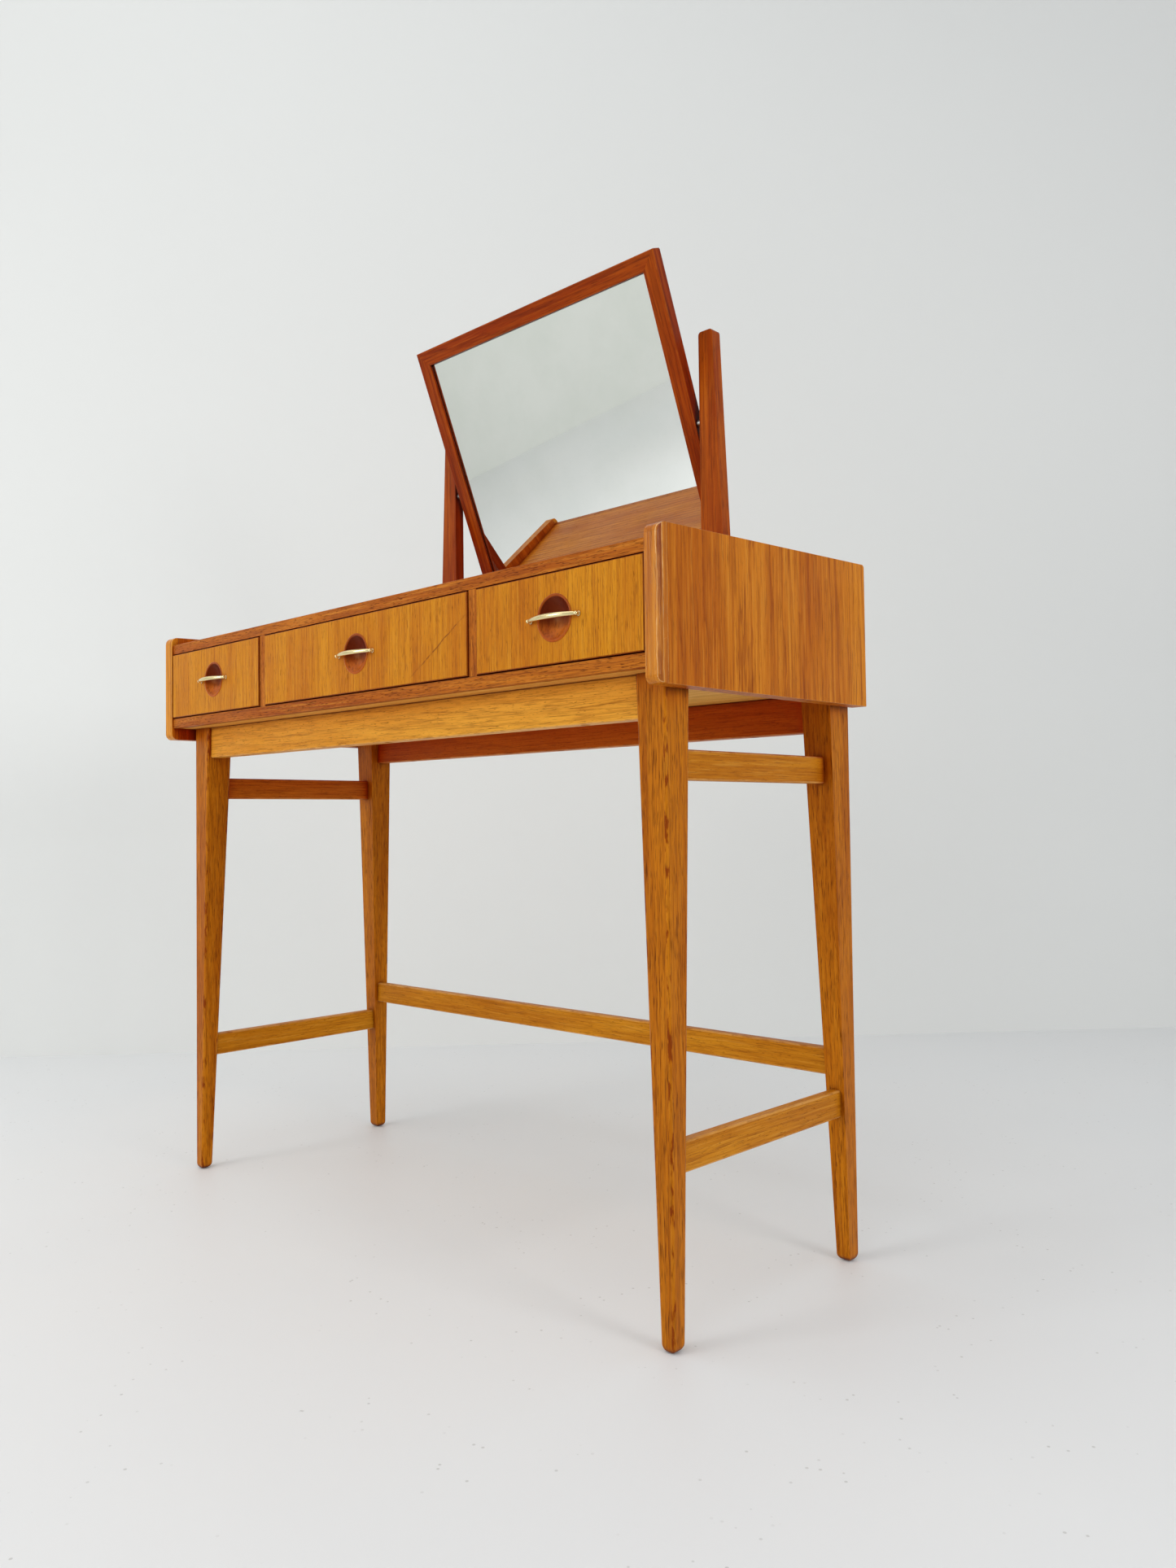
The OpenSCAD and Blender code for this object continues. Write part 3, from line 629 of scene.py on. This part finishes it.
def lathed(outline, steps):
    # turns (radius, height) points about z; the outline starts and ends on the axis
    shape = bmesh.new()
    shape.faces.layers.float.new("edgeMask")
    rings = []
    for radius, height in outline:
        if radius < 1e-7:
            rings.append([shape.verts.new((0, 0, height))])
        else:
            rings.append([shape.verts.new((radius * math.cos(a), radius * math.sin(a), height))
                          for a in (2 * math.pi * i / steps for i in range(steps))])
    for first, second in zip(rings, rings[1:]):
        for i in range(steps):
            j = (i + 1) % steps
            corners = [first[i % len(first)], first[j % len(first)],
                       second[j % len(second)], second[i % len(second)]]
            shape.faces.new(list(dict.fromkeys(corners)))
    bmesh.ops.recalc_face_normals(shape, faces=shape.faces)
    return shape


# ---- case

caseSizes = {"frontArris": 0.0046, "topArris": 0.0028, "innerArris": 0.0014, "seam": 0.00022,
             "board": 0.0006}


def dressCase():
    for side, sign in (("left", -1), ("right", 1)):
        low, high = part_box(side + "_panel_lipping")
        outer = low[0] if sign < 0 else high[0]
        seam = high[1]
        dress(side + "_panel_lipping", "Z", [
            (caseSizes["seam"], 1, lambda e: onPlane(e, 1, seam)),
            (caseSizes["frontArris"], 6, lambda e: onPlane(e, 0, outer) and not onPlane(e, 1, seam)),
            (caseSizes["innerArris"], 3, lambda e: not onPlane(e, 1, seam) and e.calc_length() > 0.0003)],
            finish="left_lipping" if sign < 0 else "panel_lipping")
        dress(side + "_side_panel", "Z", [
            (caseSizes["seam"], 1, lambda e: onPlane(e, 1, seam)),
            (caseSizes["topArris"], 4, lambda e: onPlane(e, 0, outer) and not onPlane(e, 1, seam)),
            (caseSizes["innerArris"], 2, lambda e: not onPlane(e, 1, seam) and e.calc_length() > 0.3)],
            across=0.10)
    for name in ("top_board", "bottom_board"):
        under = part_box(name)[0][2]
        paleFaces = ("pale_underside",
                     lambda f: f.normal.z < -0.9 and f.calc_center_median().z < under + 0.001)
        dress(name, "X", [(caseSizes["seam"], 1, longerThan(0.2))], across=0.12,
              second=paleFaces if name == "bottom_board" else None)
        dress(name + "_lipping", "X", [(caseSizes["board"], 2, longerThan(0.2))], finish="board_lipping",
              across=0.05)
    for name in ("left_divider", "right_divider"):
        dress(name, "Z", [(caseSizes["board"], 2, longerThan(0.01))], finish="board_lipping", across=0.05)
    dress("back_panel", "X", [(caseSizes["seam"], 1, longerThan(0.1))])
    dress("drawer_stops", "X", [(caseSizes["board"], 1, longerThan(0.001))])
    print("dressed the case")


dressCase()

# ---- leg frame

legSizes = {"leg": 0.0030, "foot": 0.0075, "footSteps": 6, "rail": 0.0020, "apron": 0.0014}


def roundFoot(shape, radius, steps):
    # cuts the flat end off a leg and draws it in to a rounded one
    end = max((face for face in shape.faces if face.normal.z < -0.9), key=lambda face: face.calc_area())
    middle = end.calc_center_median()
    half = max(abs(vertex.co.x - middle.x) for vertex in end.verts)
    whole = shape.verts[:] + shape.edges[:] + shape.faces[:]
    cut = bmesh.ops.bisect_plane(shape, geom=whole, plane_co=(0, 0, radius), plane_no=(0, 0, 1),
                                 clear_inner=True)
    ring = [item for item in cut["geom_cut"] if isinstance(item, bmesh.types.BMEdge)]
    share = 1
    for step in range(1, steps + 1):
        angle = math.pi / 2 * step / steps
        drawnIn = 1 - radius * (1 - math.cos(angle)) / half
        made = bmesh.ops.extrude_edge_only(shape, edges=ring)["geom"]
        lower = [item for item in made if isinstance(item, bmesh.types.BMVert)]
        for vertex in lower:
            vertex.co.x = middle.x + (vertex.co.x - middle.x) * drawnIn / share
            vertex.co.y = middle.y + (vertex.co.y - middle.y) * drawnIn / share
            vertex.co.z = radius * (1 - math.sin(angle))
        ring = [item for item in made
                if isinstance(item, bmesh.types.BMEdge) and all(vertex in lower for vertex in item.verts)]
        share = drawnIn
    bmesh.ops.contextual_create(shape, geom=ring)
    bmesh.ops.recalc_face_normals(shape, faces=shape.faces)


def dressLegFrame():
    for name in ("front_left_leg", "front_right_leg", "rear_left_leg", "rear_right_leg"):
        shape = weldedPart(name)
        roundOver(shape, legSizes["leg"], longerThan(0.4), 4)
        roundFoot(shape, legSizes["foot"], legSizes["footSteps"])
        settle(pieceName(name), shape, name, "Z", finish="leg_oak", across=0.06)
    for name, finish in (("upper_left_rail", "shaded_oak"), ("upper_right_rail", "oak"),
                         ("lower_left_rail", "oak"), ("lower_right_rail", "oak")):
        dress(name, "Y", [(legSizes["rail"], 3, longerThan(0.2))], finish=finish, across=0.08)
    dress("rear_low_rail", "X", [(legSizes["rail"], 3, longerThan(0.5))], across=0.08)
    for name, finish in (("front_apron", "apron_oak"), ("rear_apron", "shaded_oak")):
        dress(name, "X", [(legSizes["apron"], 2, longerThan(0.5))], finish=finish, across=0.10)
    print("dressed the leg frame")


dressLegFrame()

# ---- drawers

drawerSizes = {"front": 0.0009, "box": 0.0004}


def dressDrawers():
    for side in ("left", "middle", "right"):
        front = side + "_drawer_front"
        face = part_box(front)[0][1]
        dress(front, "Z", [
            (drawerSizes["front"], 2, lambda e: onPlane(e, 1, face) and e.calc_length() > 0.02)],
            finish="scratched_front" if side == "middle" else None, across=0.3)
        for piece, grain in (("side_l", "Y"), ("side_r", "Y"), ("back", "X"), ("bottom", "X")):
            dress(side + "_drawer_" + piece, grain, [(drawerSizes["box"], 1, longerThan(0.05))])
    print("dressed the drawers")


dressDrawers()

# ---- turned cups

cupSizes = {"rim": 0.0023, "floor": 0.0022, "bead": 0.0005, "groove": 0.0003, "steps": 96}


def turnCup(side):
    node = side + "_drawer_cup"
    low, high = (Vector(corner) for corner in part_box(node))
    outer, deep = (high.x - low.x) / 2, high.y - low.y
    rim, floor, bead = cupSizes["rim"], cupSizes["floor"], cupSizes["bead"]
    mouth = outer - rim
    hollow = deep - bead - floor
    sphere = (mouth * mouth + hollow * hollow) / (2 * hollow)
    reach = math.asin(min(1.0, mouth / sphere))
    outline = [(0.0, 0.0), (outer - 0.0004, 0.0), (outer, 0.0004), (outer, deep - bead - 0.0003)]
    outline += [(outer - rim / 2 + rim / 2 * math.cos(a), deep - bead + bead * math.sin(a))
                for a in (math.pi * i / 10 for i in range(11))]
    outline += [(mouth - cupSizes["groove"], deep - bead - cupSizes["groove"])]
    outline += [(sphere * math.sin(a), floor + sphere - sphere * math.cos(a))
                for a in (reach * (1 - i / 20) * 0.985 for i in range(1, 20))]
    outline += [(0.0, floor)]
    shape = lathed(outline, cupSizes["steps"])
    markEdges(shape, [f for f in shape.faces if math.hypot(*f.calc_center_median().xy) > mouth - 0.0003], 1.0)
    middle = (low + high) / 2
    place = Matrix.Translation((middle.x, high.y, middle.z)) @ Matrix.Rotation(math.pi / 2, 4, "X")
    bmesh.ops.transform(shape, matrix=place, verts=shape.verts)
    settle(pieceName(node), shape, node, "Z", across=0.0, angle=40)


# ---- brass pulls

pullSizes = {"end": 0.0018, "middle": 0.0026, "flat": 0.80, "ball": 0.0021, "neck": 0.0019, "foot": 0.0021,
             "collar": 0.0024, "steps": 20, "rings": 48}


def bendPull(side):
    # a bowed bar, thickest in the middle, between two ball feet
    node = side + "_drawer_pull"
    low, high = (Vector(corner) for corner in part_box(node))
    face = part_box(side + "_drawer_front")[0][1]
    footX = (high.x - low.x) / 2 - 0.0026
    centre = Vector(((low.x + high.x) / 2, 0, (low.z + high.z) / 2))
    footTop = face - 0.0035
    bow = footTop - low.y - 0.002
    bend = (footX * footX + bow * bow) / (2 * bow)
    sweep = math.asin(footX / bend)
    shape = bmesh.new()
    rings = []
    count, steps = pullSizes["rings"], pullSizes["steps"]
    for i in range(count + 1):
        share = 2 * i / count - 1
        angle = sweep * share
        spot = centre + Vector((bend * math.sin(angle), footTop - bow + bend - bend * math.cos(angle), 0))
        outward = Vector((math.sin(angle), -math.cos(angle), 0))
        swell = pullSizes["end"] + (pullSizes["middle"] - pullSizes["end"]) * (1 - abs(share) ** 1.6)
        if abs(share) > 0.93:
            swell *= 1.0 - 0.25 * math.sin((abs(share) - 0.93) / 0.07 * math.pi)
        ring = []
        for k in range(steps):
            a = 2 * math.pi * k / steps
            tall, thick = math.sin(a), math.cos(a)
            ring.append(shape.verts.new(spot + outward * swell * pullSizes["flat"] * thick
                                        + Vector((0, 0, swell * tall))))
        rings.append(ring)
    for first, second in zip(rings, rings[1:]):
        for k in range(steps):
            m = (k + 1) % steps
            shape.faces.new((first[k], first[m], second[m], second[k]))
    shape.faces.new(rings[0])
    shape.faces.new(list(reversed(rings[-1])))
    ball, neck, foot, collar = (pullSizes[key] for key in ("ball", "neck", "foot", "collar"))
    height = face - footTop
    outline = [(0.0, 0.0), (collar, 0.0), (collar, 0.0004), (collar - 0.0004, 0.0008), (foot, 0.0010),
               (neck, height - ball * 0.75)]
    outline += [(ball * math.cos(a), height + ball * math.sin(a))
                for a in (math.pi / 2 * i / 8 - 0.75 for i in range(13)) if a < math.pi / 2 - 0.01]
    outline += [(0.0, height + ball)]
    for footPlace in (centre.x - footX, centre.x + footX):
        part = lathed(outline, 32)
        place = Matrix.Translation((footPlace, face, centre.z)) @ Matrix.Rotation(math.pi / 2, 4, "X")
        bmesh.ops.transform(part, matrix=place, verts=part.verts)
        holder = meshFrom(part, "foot")
        shape.from_mesh(holder)
        bpy.data.meshes.remove(holder)
    settle(pieceName(node), shape, node, "X", across=0.0, angle=40)


for side in ("left", "middle", "right"):
    turnCup(side)
    bendPull(side)
print("turned the cups and bent the pulls")

# ---- mirror and posts

mirrorSizes = {"frame": 0.0014, "mitre": 0.00018, "post": 0.0022, "backing": 0.0003, "pin": 0.0005}


def mirrorLean():
    # the angle of the glass from upright, from its lowest corner to the farthest one beside it
    corners = [vertex.co for vertex in frame["nodes"]["mirror_glass"].data.vertices]
    lowest = min(corners, key=lambda corner: corner.z)
    beside = [corner for corner in corners if abs(corner.x - lowest.x) < 1e-5]
    highest = max(beside, key=lambda corner: (corner - lowest).length)
    return math.atan2(lowest.y - highest.y, highest.z - lowest.z)


def dressMirror():
    level = Matrix.Rotation(-mirrorLean(), 3, "X")
    for name, grain in (("mirror_top_rail", "X"), ("mirror_bottom_rail", "X"),
                        ("mirror_left_stile", "Z"), ("mirror_right_stile", "Z")):
        dress(name, grain, [
            (mirrorSizes["frame"], 3, longerThan(0.3)),
            (mirrorSizes["mitre"], 1, lambda e: 0.008 < e.calc_length() < 0.05)],
            turn=grainTurn(grain) @ level, finish="frame_teak", across=0.07)
    dress("mirror_backing", "X", [(mirrorSizes["backing"], 1, longerThan(0.2))], turn=grainTurn("X") @ level)
    dress("mirror_glass", "X", [(mirrorSizes["backing"], 1, longerThan(0.2))], turn=grainTurn("X") @ level)
    dress("mirror_pivot_pins", "X", [(mirrorSizes["pin"], 2, lambda e: e.calc_face_angle(0) > 1.2)])
    for name in ("left_mirror_post", "right_mirror_post"):
        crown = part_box(name)[1][2] - 0.02
        dress(name, "Z", [(mirrorSizes["post"], 3, lambda e: e.calc_length() > 0.3
                           or (min(v.co.z for v in e.verts) > crown and e.calc_length() > 0.0002
                               and abs(e.verts[0].co.y - e.verts[1].co.y) < 0.0001))], across=0.07)
    print("dressed the mirror")


dressMirror()

# ---- screws, nails and brads

fastenerSizes = {"slotShare": 0.16, "slotDepthShare": 0.5, "dome": 0.35, "spinSeed": 7}


def fastenerTree():
    # sets one slotted fastener on each point, its head along the point's heading
    tree = bpy.data.node_groups.new("fastenerSet", "GeometryNodeTree")
    kinds = (("Points", "Geometry"), ("Shank Radius", "Float"), ("Length", "Float"), ("Head Radius", "Float"),
             ("Head Base Radius", "Float"), ("Head Height", "Float"), ("Dome", "Float"),
             ("Slotted", "Bool"), ("Slot Width", "Float"), ("Slot Depth", "Float"), ("Seed", "Int"),
             ("Finish", "Material"))
    for label, kind in kinds:
        tree.interface.new_socket(label, in_out="INPUT", socket_type="NodeSocket" + kind)
    tree.interface.new_socket("Geometry", in_out="OUTPUT", socket_type="NodeSocketGeometry")
    given, out = tree.nodes.new("NodeGroupInput").outputs, tree.nodes.new("NodeGroupOutput").inputs

    def make(kind, inputs=None, **settings):
        return putNode(tree, "GeometryNode" + kind, inputs, **settings)

    def upward(height):
        return addNode(tree, "CombineXYZ", {2: height}).outputs[0]

    # the head sits below z = 0 with its dome above, and the shank runs down from it
    shank = make("MeshCone", {"Vertices": 20, "Radius Top": given["Shank Radius"],
                              "Radius Bottom": given["Shank Radius"], "Depth": given["Length"]})
    lowered = make("Transform", {"Geometry": shank.outputs["Mesh"],
                                 "Translation": upward(times(tree, given["Length"], -1.0))})
    head = make("MeshCone", {
        "Vertices": 28, "Side Segments": 1, "Fill Segments": 4, "Radius Top": given["Head Radius"],
        "Radius Bottom": given["Head Base Radius"], "Depth": given["Head Height"]}, fill_type="TRIANGLE_FAN")
    parts = split(tree, make("InputPosition").outputs[0])
    share = maths(tree, "DIVIDE", crossDistance(tree, parts[0], parts[1]), given["Head Radius"])
    rise = times(tree, given["Dome"], minus(tree, 1.0, times(tree, share, share)))
    onTop = maths(tree, "GREATER_THAN", parts[2], times(tree, given["Head Height"], 0.9))
    lift = minus(tree, times(tree, rise, onTop), times(tree, given["Dome"], onTop))
    domed = make("SetPosition", {"Geometry": head.outputs["Mesh"], "Offset": upward(lift)})
    headDown = make("Transform", {"Geometry": domed.outputs[0],
                                  "Translation": upward(times(tree, given["Head Height"], -1.0))})
    slotSize = addNode(tree, "CombineXYZ", {0: times(tree, given["Head Radius"], 3.0), 1: given["Slot Width"],
                                            2: times(tree, given["Slot Depth"], 2.0)})
    slot = make("MeshCube", {"Size": slotSize.outputs[0]})
    cutHead = make("MeshBoolean", {"Mesh 1": headDown.outputs[0], "Mesh 2": slot.outputs["Mesh"]},
                   operation="DIFFERENCE")
    chosen = make("Switch", {"Switch": given["Slotted"], "False": headDown.outputs[0],
                             "True": cutHead.outputs["Mesh"]}, input_type="GEOMETRY")
    whole = make("JoinGeometry")
    tree.links.new(lowered.outputs[0], whole.inputs[0])
    tree.links.new(chosen.outputs[0], whole.inputs[0])
    heading = make("InputNamedAttribute", {"Name": "heading"}, data_type="FLOAT_VECTOR").outputs[0]
    aim = putNode(tree, "FunctionNodeAlignRotationToVector", {"Vector": heading}, axis="Z").outputs[0]
    spin = putNode(tree, "FunctionNodeRandomValue", {"Seed": given["Seed"]}, data_type="FLOAT")
    spin.inputs[2].default_value, spin.inputs[3].default_value = 0.0, math.pi
    twist = putNode(tree, "FunctionNodeAxisAngleToRotation", {"Axis": (0, 0, 1), "Angle": spin.outputs[1]})
    turned = putNode(tree, "FunctionNodeRotateRotation", {0: aim, 1: twist.outputs[0]},
                     rotation_space="LOCAL").outputs[0]
    placed = make("InstanceOnPoints", {"Points": given["Points"], "Instance": whole.outputs[0],
                                       "Rotation": turned})
    solid = make("RealizeInstances", {0: placed.outputs[0]})
    done = make("SetMaterial", {"Geometry": solid.outputs[0], "Material": given["Finish"]})
    tree.links.new(done.outputs[0], out["Geometry"])
    return tree


def measureFasteners(node, inward=None):
    # where each fastener's head is, which way it faces, and the sizes they share
    shape = weldedPart(node)
    shape.verts.index_update()
    seen, heads, sizes = set(), [], None
    for start in shape.verts:
        if start.index in seen:
            continue
        seen.add(start.index)
        queue, island = [start], []
        while queue:
            vertex = queue.pop()
            island.append(np.array(vertex.co))
            for edge in vertex.link_edges:
                other = edge.other_vert(vertex)
                if other.index not in seen:
                    seen.add(other.index)
                    queue.append(other)
        spots = np.array(island)
        middle = (spots.min(axis=0) + spots.max(axis=0)) / 2
        spread = spots - spots.mean(axis=0)
        axis = np.linalg.eigh(spread.T @ spread)[1][:, 2]
        along = (spots - middle) @ axis
        off = np.linalg.norm((spots - middle) - np.outer(along, axis), axis=1)
        if inward is not None:
            if (inward - middle) @ axis < 0:
                axis, along = -axis, -along
        elif off[along < along.min() + 1e-4].max() > off[along > along.max() - 1e-4].max() + 1e-4:
            axis, along = -axis, -along
        top = along.max()
        shank = off[along < along.min() + 1e-4].max()
        head = off[along > top - 1e-4].max()
        wide = along[off > shank + 2e-4]
        depth = top - wide.min() if len(wide) else 0.0004
        base = off[np.abs(along - (top - depth)) < 2e-4].max() if len(wide) else shank
        if len(wide) and np.ptp(off[off > shank + 2e-4]) < 2e-4 and depth < 1e-4:
            depth, base = 0.0026, shank  # a cone that starts at the shank
        heads.append((middle + axis * top, axis))
        sizes = {"Shank Radius": shank, "Length": top - along.min(), "Head Radius": head,
                 "Head Base Radius": base, "Head Height": depth}
    shape.free()
    return heads, sizes


def setFasteners(node, domed=False, slotted=True, inward=None):
    heads, sizes = measureFasteners(node, inward)
    mesh = bpy.data.meshes.new(pieceName(node))
    mesh.from_pydata([tuple(spot) for spot, axis in heads], [], [])
    heading = mesh.attributes.new("heading", "FLOAT_VECTOR", "POINT")
    for i, (spot, axis) in enumerate(heads):
        heading.data[i].vector = axis
    obj = newObject(pieceName(node), mesh)
    setter = obj.modifiers.new("fasteners", "NODES")
    setter.node_group = fastenerSet
    head = sizes["Head Radius"]
    values = dict(sizes, Dome=head * fastenerSizes["dome"] * 0.5 if domed else 0.0,
                  Seed=fastenerSizes["spinSeed"], Finish=finishes["steel"], Slotted=slotted)
    values["Slot Width"] = head * 2 * fastenerSizes["slotShare"]
    values["Slot Depth"] = sizes["Head Height"] * fastenerSizes["slotDepthShare"]
    for item in fastenerSet.interface.items_tree:
        if item.in_out == "INPUT" and item.name in values:
            value = values[item.name]
            setter[item.identifier] = float(value) if isinstance(value, np.floating) else value
    baked(obj)
    obj.data.set_sharp_from_angle(angle=math.radians(30))
    mount(obj, node)


fastenerSet = fastenerTree()
setFasteners("apron_screws")
setFasteners("post_screws")
for side in ("left", "middle", "right"):
    setFasteners(side + "_pull_screws")
setFasteners("back_panel_nails", domed=True, slotted=False)
glassMiddle = np.array([(a + b) / 2 for a, b in zip(*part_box("mirror_glass"))])
setFasteners("mirror_backing_pins", slotted=False, inward=glassMiddle)
print("set the screws, nails and brads")

# ---- floor, light and camera

studio = {"floor": (232, 232, 231), "floorPatch": (227, 229, 230), "speck": (150, 148, 142), "floorSize": 14,
          "wall": (228, 229, 227), "roomWall": (214, 216, 212), "wallDistance": 2.52, "wallTurn": 4.0,
          "roomWallDistance": 3.62, "roomWallTurn": 156.5, "roomGlow": 0.26, "wallWidth": 9.0,
          "wallHeight": 3.6, "ambient": 0.62, "shine": 0.60}
# the place is measured from the middle of the case, on the floor
shot = {"azimuth": 43.63, "elevation": -1.73, "roll": -0.71, "lens": 26.95,
        "place": (1.1012, -0.9474, 0.4749)}


def caseMiddle():
    # halfway back through the case
    return (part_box("left_panel_lipping")[0][1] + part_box("left_side_panel")[1][1]) / 2


def paleFloor():
    material, tree, shader = newMaterial("paleFloor")
    place = inPlace(tree)
    spots = addNode(tree, "TexVoronoi", {"Vector": place, "Scale": 75.0}).outputs["Distance"]
    keep = ramp(tree, noise(tree, stretched(tree, place, 9, 9, 9), 3.0), 0.50, 0.58)
    speck = times(tree, ramp(tree, spots, 0.12, 0.07), keep)
    cloud = noise(tree, stretched(tree, place, 2.5, 2.5, 2.5), 3.0)
    colour = mixColour(tree, cloud, tone(*studio["floor"]), tone(*studio["floorPatch"]))
    colour = washed(tree, colour, tone(*studio["speck"]), speck, 0.4)
    feed(tree, shader.inputs, {"Base Color": colour, "Roughness": 0.5, "Specular IOR Level": 0.35})
    return material


def plainWall(name, colour, glow=0.0):
    # see-through from behind, so that the back of the table can be looked at
    material, tree, shader = newMaterial(name)
    cloud = noise(tree, stretched(tree, inPlace(tree), 1.2, 1.2, 1.2), 2.0)
    dull = tuple(channel - 3 for channel in colour)
    behind = addNode(tree, "NewGeometry").outputs["Backfacing"]
    feed(tree, shader.inputs, {"Base Color": mixColour(tree, cloud, tone(*colour), tone(*dull)),
                               "Roughness": 0.8, "Emission Color": tone(*colour), "Emission Strength": glow,
                               "Alpha": minus(tree, 1.0, behind)})
    return material


def stageSheet(name, corners, material):
    shape = bmesh.new()
    shape.faces.new([shape.verts.new(spot) for spot in corners])
    obj = newObject(name, meshFrom(shape, name))
    obj.data.materials.append(material)
    return obj


def standingWall(name, middle, turn, material):
    # a wall through the point, square to the angle, with its face to the table
    along = Matrix.Rotation(math.radians(turn), 3, "Z") @ Vector((studio["wallWidth"] / 2, 0, 0))
    lift = Vector((0, 0, studio["wallHeight"]))
    wall = stageSheet(name, (middle - along, middle + along, middle + along + lift, middle - along + lift),
                      material)
    if wall.data.polygons[0].normal.dot(middle) > 0:
        wall.data.flip_normals()
    return wall


def buildStage():
    eye = Vector((shot["place"][0], shot["place"][1] + caseMiddle(), 0))
    far = studio["floorSize"] / 2
    stageSheet("floor", [(-far, -far, 0), (far, -far, 0), (far, far, 0), (-far, far, 0)], paleFloor())
    ahead = Matrix.Rotation(math.radians(shot["azimuth"]), 3, "Z") @ Vector((0, studio["wallDistance"], 0))
    standingWall("backWall", eye + ahead, shot["azimuth"] + studio["wallTurn"],
                 plainWall("backWall", studio["wall"]))
    turn = studio["roomWallTurn"]
    across = Matrix.Rotation(math.radians(turn), 3, "Z") @ Vector((0, studio["roomWallDistance"], 0))
    room = standingWall("roomWall", across, turn,
                        plainWall("roomWall", studio["roomWall"], studio["roomGlow"]))
    room.visible_camera = False


def areaLight(name, place, target, size, power):
    light = bpy.data.lights.new(name, "AREA")
    light.energy, light.size = power, size
    obj = newObject(name, light)
    obj.location = place
    obj.rotation_euler = (Vector(target) - Vector(place)).to_track_quat("-Z", "Y").to_euler()


def buildLights():
    areaLight("ceilingSoft", (0.1, -1.4, 2.9), (0.0, -0.7, 0.3), 2.6, 20)
    areaLight("roomSoft", (-2.0, -1.9, 2.3), (-2.2, -2.3, 0.0), 1.4, 8)
    areaLight("rightSoft", (2.9, -0.15, 1.1), (0, 0, 0.55), 0.8, 20)
    areaLight("frontSoft", (-0.7, -2.5, 1.1), (0, 0, 0.55), 0.9, 17)
    world = bpy.data.worlds.new("studio")
    bpy.context.scene.world = world
    world.use_nodes = True
    tree = world.node_tree
    sky = tree.nodes["Background"]
    sky.inputs["Color"].default_value = (0.95, 0.97, 1.0, 1.0)
    glossy = addNode(tree, "LightPath").outputs["Is Glossy Ray"]
    tree.links.new(ramp(tree, glossy, 0.0, 1.0, studio["ambient"], studio["shine"]), sky.inputs["Strength"])


def buildCamera():
    camera = bpy.data.cameras.new("camera")
    camera.sensor_fit = "AUTO"
    camera.sensor_width = 36.0
    camera.lens = shot["lens"]
    camera.clip_start = 0.02
    obj = newObject("camera", camera)
    pitch, roll = math.radians(90 - shot["elevation"]), math.radians(shot["roll"])
    turn = (Matrix.Rotation(math.radians(shot["azimuth"]), 4, "Z") @ Matrix.Rotation(pitch, 4, "X")
            @ Matrix.Rotation(roll, 4, "Z"))
    obj.matrix_world = Matrix.Translation(Vector(shot["place"]) + Vector((0, caseMiddle(), 0))) @ turn
    bpy.context.scene.camera = obj
    bpy.context.scene.view_settings.view_transform = "Standard"


buildStage()
buildLights()
buildCamera()
print("set the stage")
